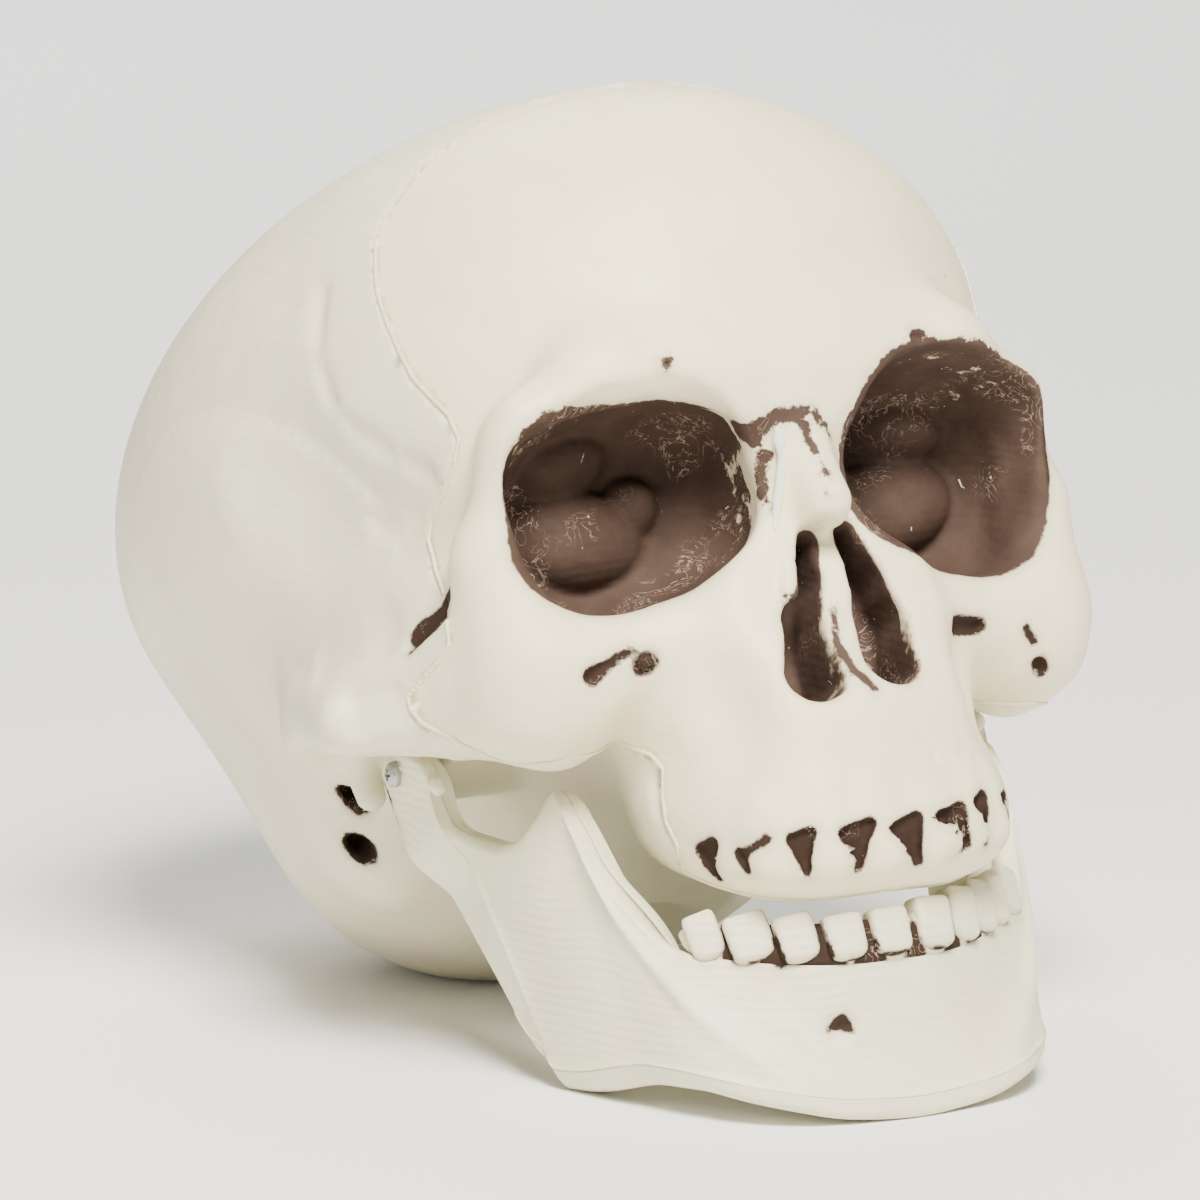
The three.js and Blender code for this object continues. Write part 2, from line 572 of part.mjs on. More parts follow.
// A place on one face of the jaw: share of the free height above the parting line, and what it does there.
function jawPoint(column, row, face, edgeRow) {
  const full = span(minus(column.edge, column.rim));
  const free = full - rimBandHeight;
  const share = face === 'sheet' ? row.sheet : row[face];
  const down = face === 'inner' ? row.hang * rimBandHeight * column.round : 0;
  const rounding = Math.min(crestRounding, column.edgeThickness * half * 0.8);
  const level = row.sheet + (share - row.sheet) * column.round;
  const fallen = (face === 'sheet' ? 0 : row.round) * rounding * column.round;
  const lean = dot(column.outward, upInLevel) / dot(column.upward, upInLevel);
  const levelled = face === 'inner' ? row.hang * row.out * column.rimThickness * lean * column.round : 0;
  const height = rimBandHeight + free * level - down - fallen + levelled;
  const t = Math.min(Math.max(height / full, 0), 1);
  const thick = column.rimThickness + (column.edgeThickness - column.rimThickness) * t;
  const sunk = Math.min(level * free / (rimBandHeight * 1.6), 1);
  const toSheet = thick * half * sunk * sunk * (3 - 2 * sunk);
  const waist = column.hollow * Math.sin(Math.PI * t);
  const onFace = plus(column.rim, plus(times(column.upward, height), times(column.outward, -waist)));
  const fromHinge = Math.hypot(onFace[1] - hinge[1], onFace[2] - hinge[2]);
  const flat = Math.min(Math.max((earFlatTo - fromHinge) / (earFlatTo - earFlatFrom), 0), 1);
  const upright = flat * flat * (3 - 2 * flat);
  const side = Math.sign(onFace[0]);
  const onOuter = [onFace[0] + (side * earOutside - onFace[0]) * upright, onFace[1], onFace[2]];
  const outward = unit(mix(column.outward, [side, 0, 0], upright));
  const sheet = minus(onOuter, times(outward, toSheet));
  const gap = partingGap * half;
  const inset = edgeRow ? 0 : column.round * row.out;
  const crest = row.outer < 1 ? 0 : rounding * (1 - row.round) * column.round;
  const outerDepth = Math.max(toSheet * column.round - crest, gap);
  const innerDepth = Math.max((thick - toSheet) * inset - crest, gap);
  return { sheet, outerDepth, innerDepth, gap, outward };
}

function jawShell(side) {
  const face = side > 0 ? 'outer' : 'inner';
  const points = [];
  const index = new Map();
  const lastRow = jawRowShares.length - 1;
  const add = (key, p) => {
    if (!index.has(key)) {
      index.set(key, points.length);
      points.push(p);
    }
    return index.get(key);
  };
  const vertex = (i, j, skin) => {
    const boundary = i === 0 || i === lastColumn || j === 0 || j === lastRow;
    const column = columns[i];
    const row = jawRowShares[j];
    if (boundary) {
      const { sheet, gap, outward } = jawPoint(column, row, 'sheet', true);
      return add(`edge ${i} ${j}`, plus(sheet, times(outward, side * gap)));
    }
    if (skin) {
      const { sheet, outerDepth, innerDepth, outward } = jawPoint(column, row, face, false);
      const depth = side > 0 ? outerDepth : innerDepth;
      return add(`skin ${i} ${j}`, plus(sheet, times(outward, side * depth)));
    }
    const at = jawPoint(column, { ...row, out: 1 }, 'sheet', false);
    const depth = side > 0 ? at.outerDepth : at.innerDepth;
    const open = i > 3 && i < lastColumn - 3 && j > 2 && j < lastRow - 3;
    const recess = open ? Math.max(depth - shellWall, at.gap) : at.gap;
    return add(`back ${i} ${j}`, plus(at.sheet, times(at.outward, side * recess)));
  };
  const triangles = [];
  for (const skin of [true, false]) {
    for (let i = 0; i < lastColumn; i += 1) {
      for (let j = 0; j < lastRow; j += 1) {
        const [a, b] = [vertex(i, j, skin), vertex(i + 1, j, skin)];
        const [c, d] = [vertex(i + 1, j + 1, skin), vertex(i, j + 1, skin)];
        const faces = skin === side > 0 ? [a, c, b, a, d, c] : [a, b, c, a, c, d];
        triangles.push(...faces);
      }
    }
  }
  return { points, triangles };
}

// A tooth: a block with cut corners, standing on the jaw's upper edge.
function toothBlock(centre, along, outward, upward, { wide, high, proud, deep }) {
  const halfWide = wide * half;
  const c = Math.min(lowerToothChamfer, wide * half * half, deep * half * half);
  const outline = (inset) => {
    const w = halfWide - inset;
    const b = w * lowerToothTaperShare;
    const front = proud - inset;
    const back = proud - deep + inset;
    return [
      [-w + c, front], [w - c, front], [w, front - c], [b, back + c],
      [b - c, back], [-b + c, back], [-b, back + c], [-w, front - c],
    ];
  };
  const level = (height, inset) => outline(inset).map(([u, v]) =>
    plus(centre, plus(times(upward, height), plus(times(along, u), times(outward, v)))));
  const foot = -crestRounding - lowerToothProud;
  const rings = [level(foot, proud * 0.8), level(foot * half, 0), level(high - c, 0), level(high, c)];
  const middle = (ring) => times(ring.reduce(plus), 1 / ring.length);
  return closedBody(middle(rings[0]), rings, middle(rings[3]));
}

function alongCrest(distanceFromChin) {
  let t = chinPlace;
  let walked = 0;
  const step = 1 / 64;
  const target = Math.abs(distanceFromChin);
  while (walked < target) {
    walked += span(minus(through(edgePlaces, t), through(edgePlaces, t - step)));
    t -= step;
  }
  return jawColumn(distanceFromChin < 0 ? t : 2 * chinPlace - t);
}

// Ten crowns, and a low web that joins each to the next behind its face.
function lowerTeeth() {
  const blocks = [];
  for (let k = -lowerTeethPerSide; k < lowerTeethPerSide; k += half) {
    const web = k !== Math.floor(k);
    if (k + half >= lowerTeethPerSide) break;
    const column = alongCrest((k + half) * lowerToothPitch);
    const upward = unit(plus(column.upward, [0, 0, half]));
    const outward = unit(minus(column.outward, times(upward, dot(column.outward, upward))));
    const size = web
      ? { wide: lowerToothPitch * half, high: lowerToothHeight * 0.8, proud: 0 }
      : { wide: lowerToothPitch - lowerToothGap, high: lowerToothHeight, proud: lowerToothProud };
    size.deep = lowerToothDepth * (web ? 0.55 : 1);
    blocks.push(toothBlock(column.edge, cross(outward, upward), outward, upward, size));
  }
  return blocks;
}

// The hinges: a boss on each side of the brain case, an ear of the jaw and a screw through it.
const discSides = 18;
const discSteps = Array.from({ length: discSides }, (_, i) => (i * 2 * Math.PI) / discSides);

// Rings of a turned piece on a line along the side axis: pairs of distance from the middle and radius.
function turned(profile, side, steps, fore = hinge[1], up = hinge[2], stretch = [1, 1]) {
  const angles = steps.map((a) => a * -side);
  const rings = profile.map(([x, r]) => angles.map((a) =>
    [side * x, fore + r * stretch[0] * Math.cos(a), up + r * stretch[1] * Math.sin(a)]));
  const first = [side * profile[0][0], fore, up];
  const last = [side * profile[profile.length - 1][0], fore, up];
  return closedBody(first, rings, last);
}

function hingeBoss(side) {
  const root = hingeBossRootShare * skullWidth;
  const edge = hingeBossRadius * 0.12;
  return turned([
    [root, hingeBossRadius * 1.25],
    [hinge[0] - hingeBossRadius, hingeBossRadius],
    [hinge[0] - edge, hingeBossRadius],
    [hinge[0], hingeBossRadius - edge],
  ], side, discSteps);
}

function screwHole(side) {
  const deep = earOutside - screwLength - screwClearance;
  const radius = screwShankDiameter * half + screwClearance;
  return turned([[deep, radius], [earOutside + screwLength, radius]], side, discSteps);
}

function earPocket(side) {
  const { centre, reach, outside: wall } = earPocketShares;
  const [fore, up] = [centre[0] * skullLength, centre[1] * skullHeight];
  const stretch = [reach[0] * skullLength, reach[1] * skullHeight];
  return turned([[hinge[0], 1], [wall * skullWidth, 1]], side, discSteps, fore, up, stretch);
}

// Pan head on the ear, a shank with a tapered tip, and a cross recess in the head.
function screw(side) {
  const under = earOutside + screwClearance * half;
  const head = screwHeadDiameter * half;
  const shank = screwShankDiameter * half;
  const tip = under - screwLength;
  const body = toSolid(turned([
    [tip, shank * 0.25],
    [tip + shank * 1.6, shank],
    [under, shank],
    [under, head],
    [under + screwHeadHeight * 0.45, head],
    [under + screwHeadHeight * 0.8, head * 0.8],
    [under + screwHeadHeight, head * 0.42],
  ], side, discSteps));
  const top = under + screwHeadHeight;
  const blade = (turnBy) => {
    const wide = head * 0.62;
    const thin = crossRecessWidth * half;
    const corners = [[-wide, -thin], [wide, -thin], [wide, thin], [-wide, thin]];
    const ring = (x, grow) => corners.map(([u, v]) => {
      const a = turnBy;
      return [
        side * x,
        hinge[1] + (u * Math.cos(a) - v * Math.sin(a)) * grow,
        hinge[2] + (u * Math.sin(a) + v * Math.cos(a)) * grow * side,
      ];
    });
    const low = top - crossRecessDepth;
    const rings = [ring(low, half), ring(top + crossRecessDepth, 1)];
    return toSolid(closedBody([side * low, hinge[1], hinge[2]], rings.map((r) => r.reverse()),
      [side * (top + crossRecessDepth), hinge[1], hinge[2]]));
  };
  return body.subtract(blade(degree * 25)).subtract(blade(degree * 115));
}

// The upper tooth gaps: wedges, wide above and narrow below, cut into the crown arch.
function upperGap(topShare, bottomShare, mirror) {
  const flip = (p) => [p[0] * mirror, p[1], p[2]];
  const top = flip(place(topShare));
  const bottom = flip(place(bottomShare));
  const centre = [0, skullLength * toothArchShares[1][4][1], (top[2] + bottom[2]) * half];
  const middle = mix(top, bottom, half);
  const downward = unit(minus(bottom, top));
  const out = minus(middle, centre);
  const outward = unit(minus(out, times(downward, dot(out, downward))));
  const side = cross(outward, downward);
  const wedge = (depth, grow) => {
    const wide = upperGapWidth * half * grow;
    const narrow = wide * upperGapNarrowShare;
    const long = upperGapHeight * half;
    const corners = [[-wide, -long], [wide, -long], [narrow, long], [-narrow, long]];
    return corners.map(([u, v]) =>
      plus(middle, plus(times(outward, depth), plus(times(side, u), times(downward, v)))));
  };
  const rings = [wedge(-upperGapDepth, half), wedge(upperGapDepth * 2, 1.2)];
  const cap = (ring) => times(ring.reduce(plus), 1 / ring.length);
  return toSolid(closedBody(cap(rings[0]), rings, cap(rings[1])));
}

// A rounded stop on the front edge of the ear's outer face.
function stopNub(side) {
  const [, fore, above] = place(stopNubShares);
  const centre = [earOutside - stopNubRadius * 0.1, fore, above];
  const reach = [stopNubRadius * 0.9, stopNubRadius, stopNubRadius];
  return eggSolid({ centre, reach, axes: turnedAxes([0, 0, 0]), power: 2 }, side);
}

const jawOuter = [1, -1].reduce(
  (solid, side) => solid.add(stopNub(side)).subtract(toSolid(screwHole(side))),
  lowerTeeth().reduce((solid, block) => solid.add(toSolid(block)), toSolid(jawShell(1))),
);
const jawInner = [1, -1].reduce(
  (solid, side) => solid.subtract(toSolid(screwHole(side))),
  toSolid(jawShell(-1)),
);

// Height above the floor of a place in the skull's level, before the lift.
const levelHeight = (p) => p[1] * Math.sin(headTilt * degree) + p[2] * Math.cos(headTilt * degree);
const jawLowest = Math.min(...jawShell(-1).points.map(levelHeight));
const keptAbove = (floor) => (p) => plus(p, times(upInLevel, Math.max(floor - levelHeight(p), 0)));

const faceOuter = outerRings(faceRings, 0, 1);
const faceLiner = innerRings(faceLinerRings, 0, 1);
const faceSolid = toSolid(closedBody(
  faceOuter.pole,
  [...beaded(faceOuter.rings, faceRings), ...faceLiner.rings.slice().reverse()],
  faceLiner.pole,
));

// The space inside a liner and half the wall, down to the head's middle.
const intoWall = (p) => plus(p, times(unit(minus(p, headCentre)), shellWall * half));
const faceCavity = toSolid(closedBody(
  intoWall(faceLiner.pole),
  faceLiner.rings.map((ring) => ring.map(intoWall)),
  headCentre,
));

const brainOuter = outerRings(brainRings, Math.PI, -1);
const brainLiner = innerRings(brainLinerRings, Math.PI, -1);
const aboveFloor = keptAbove(jawLowest + shellWall);
const brainSolid = toSolid(closedBody(
  aboveFloor(brainLiner.pole),
  [
    ...brainLiner.rings.map((ring) => ring.map(aboveFloor)),
    ...beaded(brainOuter.rings, brainRings).reverse(),
  ],
  brainOuter.pole,
));

const brainCavity = toSolid(closedBody(
  headCentre,
  brainLiner.rings.map((ring) => ring.map(intoWall)).reverse(),
  intoWall(brainLiner.pole),
));

// Everything below the floor, cut away from the nape to leave a flat to stand on.
const foreInLevel = [0, upInLevel[2], -upInLevel[1]];
const underFloor = (() => {
  const corner = (x, fore, level) => plus([x * skullWidth, 0, 0], plus(
    times(foreInLevel, fore * skullLength), times(upInLevel, level)));
  const ring = (level) => [[1, 1], [1, -1], [-1, -1], [-1, 1]].map(([x, fore]) => corner(x, fore, level));
  const low = jawLowest - skullHeight;
  return toSolid(closedBody(corner(0, 0, low), [ring(low), ring(jawLowest)], corner(0, 0, jawLowest)));
})();

const gapSolids = upperGapTopShares.flatMap((top, i) =>
  (top[0] === 0 ? [1] : [1, -1]).map((mirror) => upperGap(top, upperGapBottomShares[i], mirror)));
const septum = eggSolid(shapeOf(septumShares), 1);
const faceShell = gapSolids.reduce((solid, gap) => solid.subtract(gap), hollowed(faceSolid, faceCavity).add(septum));
const brainShell = [1, -1].reduce((solid, side) => solid
  .subtract(toSolid(earPocket(side)))
  .add(toSolid(hingeBoss(side)))
  .subtract(toSolid(screwHole(side))), hollowed(brainSolid, brainCavity).subtract(underFloor));

const skull = new THREE.Group();
function piece(name, solid, material) {
  const mesh = solid.getMesh();
  const positions = new Float32Array(mesh.numVert * 3);
  for (let i = 0; i < mesh.numVert; i += 1) {
    const at = i * mesh.numProp;
    positions.set([mesh.vertProperties[at], -mesh.vertProperties[at + 1], mesh.vertProperties[at + 2]], i * 3);
  }
  const geometry = new THREE.BufferGeometry();
  geometry.setAttribute('position', new THREE.BufferAttribute(positions, 3));
  const corners = Array.from(mesh.triVerts);
  for (let i = 0; i < corners.length; i += 3) [corners[i], corners[i + 1]] = [corners[i + 1], corners[i]];
  geometry.setIndex(corners);
  const made = new THREE.Mesh(toCreasedNormals(mergeVertices(geometry), degree * 40), material);
  made.name = name;
  skull.add(made);
}

piece('face_shell', faceShell, creamPlastic);
piece('cranium_shell', brainShell, casePlastic);
piece('jaw_outer_shell', jawOuter, jawPlastic);
piece('jaw_inner_shell', jawInner, innerJawPlastic);
piece('hinge_screw_right', screw(-1), screwSteel);
piece('hinge_screw_left', screw(1), screwSteel);

// Tilt back and stand on the floor, with the middle of the object's plan at the origin.
skull.rotation.x = -headTilt * degree;
skull.position.z = -jawLowest;
const object = new THREE.Group();
object.add(skull);
object.updateMatrixWorld(true);
const box = new THREE.Box3().setFromObject(object, true);
skull.position.y = -(box.min.y + box.max.y) * half;

export default object;
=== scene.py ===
# A life-size moulded plastic skull with a lower jaw that swings on two screws.
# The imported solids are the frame; each section below dresses or replaces one of its pieces.
import math

import bpy
import numpy as np
from mathutils import Matrix, Vector


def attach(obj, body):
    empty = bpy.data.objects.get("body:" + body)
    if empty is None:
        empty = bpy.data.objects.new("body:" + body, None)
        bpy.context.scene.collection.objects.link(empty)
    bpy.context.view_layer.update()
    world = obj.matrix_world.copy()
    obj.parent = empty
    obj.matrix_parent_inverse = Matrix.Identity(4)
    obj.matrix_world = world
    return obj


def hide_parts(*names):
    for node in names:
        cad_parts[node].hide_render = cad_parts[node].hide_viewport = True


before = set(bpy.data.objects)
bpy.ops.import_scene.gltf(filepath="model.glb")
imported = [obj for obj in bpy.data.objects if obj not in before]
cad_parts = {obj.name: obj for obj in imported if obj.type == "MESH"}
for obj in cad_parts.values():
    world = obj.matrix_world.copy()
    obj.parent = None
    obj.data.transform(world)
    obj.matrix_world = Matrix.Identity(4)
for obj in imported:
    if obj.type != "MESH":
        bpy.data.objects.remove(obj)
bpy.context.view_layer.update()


# The camera stands one and a half metres off, a little above the level of the eyes, and looks at the skull's
# right cheek. The skull stands on a pale matt table under one warm soft light, with a weak fill at each side.
EARS = (0.0, -2.14136, 46.39124)  # the middle between the ears as the skull stands, in mm
CAMERA_ANGLES = (-28.43, 10.26, -0.70)  # turned round the skull, raised, rolled, in degrees
CAMERA_AWAY, AIM_RIGHT, AIM_UP = 1500, -2.42, 23.6
FOCAL_LENGTH, PICTURE_WIDTH, SENSOR_WIDTH = 8635, 1200, 36  # the first two in picture points, the last in mm
turn, rise, lean = (math.radians(angle) for angle in CAMERA_ANGLES)
back = Vector((math.sin(turn) * math.cos(rise), -math.cos(turn) * math.cos(rise), math.sin(rise)))
level_right = Vector((math.cos(turn), math.sin(turn), 0))
level_up = back.cross(level_right)
right = level_right * math.cos(lean) + level_up * math.sin(lean)
up = level_up * math.cos(lean) - level_right * math.sin(lean)
stand = (Vector(EARS) + right * AIM_RIGHT + up * AIM_UP + back * CAMERA_AWAY) / 1000
camera = bpy.data.objects.new("camera", bpy.data.cameras.new("camera"))
camera.data.sensor_width = SENSOR_WIDTH
camera.data.lens = FOCAL_LENGTH / PICTURE_WIDTH * SENSOR_WIDTH
camera.data.clip_end = 20
camera.matrix_world = Matrix.Translation(stand) @ Matrix((right, up, back)).transposed().to_4x4()
bpy.context.scene.collection.objects.link(camera)
bpy.context.scene.camera = camera


def linear(colour):
    """A colour written as sRGB hex, turned into the linear values that a shader reads."""
    parts = [int(colour[i : i + 2], 16) / 255 for i in (1, 3, 5)]
    return [c / 12.92 if c <= 0.04045 else ((c + 0.055) / 1.055) ** 2.4 for c in parts] + [1.0]


def new_material(name, roughness, metallic=0.0):
    """A material with one Principled shader, and that shader."""
    material = bpy.data.materials.new(name)
    material.use_nodes = True
    shader = material.node_tree.nodes["Principled BSDF"]
    shader.inputs["Roughness"].default_value = roughness
    shader.inputs["Metallic"].default_value = metallic
    return material, shader


# The table's paint is dead matt, so the shadows on it stay soft.
table_paint, table_shader = new_material("matt table paint", 0.9)
table_shader.inputs["Base Color"].default_value = linear("#F3F3F1")
table = bpy.data.objects.new("table", bpy.data.meshes.new("table"))
table.data.from_pydata([(-3, -3, 0), (3, -3, 0), (3, 3, 0), (-3, 3, 0)], [], [(0, 1, 2, 3)])
table.data.materials.append(table_paint)
bpy.context.scene.collection.objects.link(table)
for name, place, target, size, power, colour in (
    ("key light", (-0.25, -0.8, 1.15), (0, 0, 0.09), 0.5, 60, "#FFF9F0"),
    ("right fill", (1.2, -0.6, 0.4), (0, 0, 0.08), 1, 2.5, "#FBFBFF"),
    ("left fill", (-1.2, -0.2, 0.3), (0, 0, 0.08), 1, 3.6, "#FFFFFF"),
    ("wash on the table behind", (0.5, 1.6, 1.5), (0.7, 1.7, 0), 1.6, 60, "#FFFFFF"),
):
    light = bpy.data.objects.new(name, bpy.data.lights.new(name, "AREA"))
    light.data.size = size
    light.data.energy = power
    light.data.color = linear(colour)[:3]
    light.location = place
    light.rotation_euler = (Vector(target) - Vector(place)).to_track_quat("-Z", "Y").to_euler()
    bpy.context.scene.collection.objects.link(light)
room = bpy.data.worlds.new("room")
room.use_nodes = True
room.node_tree.nodes["Background"].inputs["Color"].default_value = linear("#FFFFFF")
room.node_tree.nodes["Background"].inputs["Strength"].default_value = 0.12
bpy.context.scene.world = room


# The head is two thin shells of matt vinyl, the face and the brain case, each cast hollow in a soft mould and then
# bonded to the other along a line that stands round the face. The orbits and the nose undercut the skin, which no
# grid of two numbers can follow, so the shells are a net over a field of distances.
WALL = 2.6
SEAM_GAP = 0.1
STANDING_TILT = math.radians(27.18)
ORBIT_TURN, ORBIT_POWER = (22, 3, -8), 2.7
ORBIT_HOLE = ((31, 80, 19), (21.5, 24, 16.2), ORBIT_TURN, ORBIT_POWER)
ORBIT_MOUTH = ((30.3, 80.4, 20.3), (20.8, 25, 16.3), ORBIT_TURN, ORBIT_POWER)
RIGHT_PAINT = ((30.9, 80.4, 20.6), (20.1, 60, 15.3), ORBIT_TURN, ORBIT_POWER)
LEFT_PAINT = ((29.4, 80.6, 19), (23.6, 60, 18.3), ORBIT_TURN, ORBIT_POWER)
PLATE_CENTRE, PLATE_RADII, PLATE_STEP = (2, 25), (41, 36.5), 0.95
# The form is set out as eggs and tapering limbs in the skull's own level (side, fore and up from the middle of the
# ears, in mm), each added or cut with a soft blend: (action, blend, kind, centre or start, radii or end, turn or
# first radius, power or last radius).
HEAD_FORM = [
    ("add", 0, "egg", (0, -0.5, 52.4), (73.25, 93.75, 55.2), (0, 4.6, 0)),  # brain case
    ("add", 20, "egg", (0, -25, 8), (51, 48.5, 42), (0, 0, 0), 2.2),  # back of the base
    ("add", 14, "egg", (0, 16, 2), (38, 56, 27)),  # base
    ("add", 12, "egg", (0, 57, 36), (51, 31, 26)),  # forehead between the orbits
    ("cut", 12, "egg", (77, 40, 32), (13, 18, 24), (20, 0, 0)),  # temple hollow
    ("add", 10, "limb", (0, 86, 36), (30, 84, 40), 6.5, 6),  # brow
    ("add", 8, "egg", (43, 62, -7), (11.5, 11.5, 12)),  # cheekbone
    ("add", 8, "limb", (27, 72, -4), (45, 67.5, -5), 7.5, 7),  # lower rim of the orbit
    ("add", 12, "limb", (48, 60, -8), (60, 30, -3), 8, 8),  # cheek arch
    ("add", 12, "limb", (60, 30, -3), (58, 8, 4), 8, 7),  # root of the arch
    ("add", 14, "egg", (47, 32, 10), (16, 38, 14), (0, -4, 0)),  # web over the arch
    ("cut", 5, "limb", (62, 75, -46), (65, 8, -16), 24, 17),  # hollow under the arch
    ("add", 10, "egg", (0, 60, -8), (30, 27, 28)),  # upper jaw
    ("add", 8, "egg", (0, 64, -22), (27.5, 28.5, 17), (0, -14, 0), 2.6),  # arch of the tooth roots
    ("add", 7, "egg", (0, 64, -34), (29, 27.5, 12), (0, -27, 0), 2.8),  # arch of the crowns
    ("add", 8, "limb", (9, 80, 28), (15, 78, -16), 6, 8),  # beside the nose
    ("add", 6, "limb", (0, 83, 29), (0, 89.8, 12.5), 6.3, 4.8),  # nasal bones
    ("add", 10, "egg", (41, -12, -6), (9, 12, 15)),  # behind the ear
    ("add", 8, "egg", (46.5, 62, 23), (4.5, 10, 10)),  # side wall of the orbit
    ("cut", 4, "egg", *ORBIT_HOLE),
    ("add", 7, "limb", (36, 83, 38), (47, 77, 31.5), 5.5, 4.3),  # outer brow
    ("add", 7, "limb", (47, 77, 31.5), (53, 68.3, 15), 4.3, 3.6),  # side rim
    ("add", 7, "limb", (53, 68.3, 15), (50, 67, -2), 3.6, 6),  # foot of the side rim
    ("cut", 1.2, "egg", *ORBIT_MOUTH),
    ("add", 1.5, "egg", (30.5, 54.5, 19.6), (14, 9, 9.4), (0, 0, 10)),  # large swelling in the orbit
    ("add", 1.5, "egg", (32.5, 54, 32), (12, 14, 6.4), (0, 0, -8)),  # upper swelling
    ("add", 1, "egg", (18.8, 55.5, 23.8), (5.6, 7.6, 6.2)),  # small swelling between them
    ("cut", 7, "egg", (26.5, 86, -19.5), (6, 7.5, 9.5), (25, 0, 0)),  # hollow over the eye tooth
    ("cut", 6, "limb", (10.5, 91.5, 20), (14, 92, -2), 4.2, 4.2),  # furrow beside the nasal bones
    ("cut", 4, "egg", (0, 56.8, -51.8), (17.3, 25.6, 10.2), (0, -27, 0), 2.4),  # palate
    ("cut", 4, "egg", (7.4, 37.9, -23.3), (5.9, 14.2, 9), (0, -35, 0)),  # way behind the nose
    ("add", 5, "egg", (12.5, -5.7, -26.3), (5.9, 11, 5.3), (14, 0, 0)),  # condyle
    ("cut", 4, "egg", (0, -17, -36), (13.5, 16.1, 12.8)),  # nape opening
    ("add", 1.5, "limb", (34.5, 21.52, -7.79), (44, 21.52, -7.79), 5.4, 5.4),  # hinge boss
    ("cut", 1, "egg", (52.5, 24, -10), (4.2, 16, 9.5), (0, 0, 0), 3.5),  # pocket for the jaw's ear
    ("add", 2, "limb", (53, 6.5, 0), (52.6, 7.5, -7.5), 3, 2.6),  # post behind the ear
    ("cut", 1.2, "limb", (49.5, -4.5, -2), (51, -0.5, -8), 2.2, 1.9),  # upper pit behind the post
    ("cut", 1.2, "limb", (47.5, -11, -9), (49.5, -6.5, -14), 2, 2.3),  # lower pit behind the post
]
# The nose is two pear-shaped holes, not quite alike, each a chain of lines seen from straight ahead:
# (side, up, radius) from the top down. They end on a flat 14 mm in, and leave the septum between them.
NOSE_BACK = 74.0
NOSE_HOLES = [
    [(-2.4, 7.4, 1.2), (-4.2, 1, 2.3), (-7.8, -6.9, 3.3), (-9.6, -16.8, 5)],
    [(5.2, 8.2, 1.5), (6.6, -0.5, 3.1), (6.6, -7, 4.4), (5.2, -15.6, 4.9)],
]
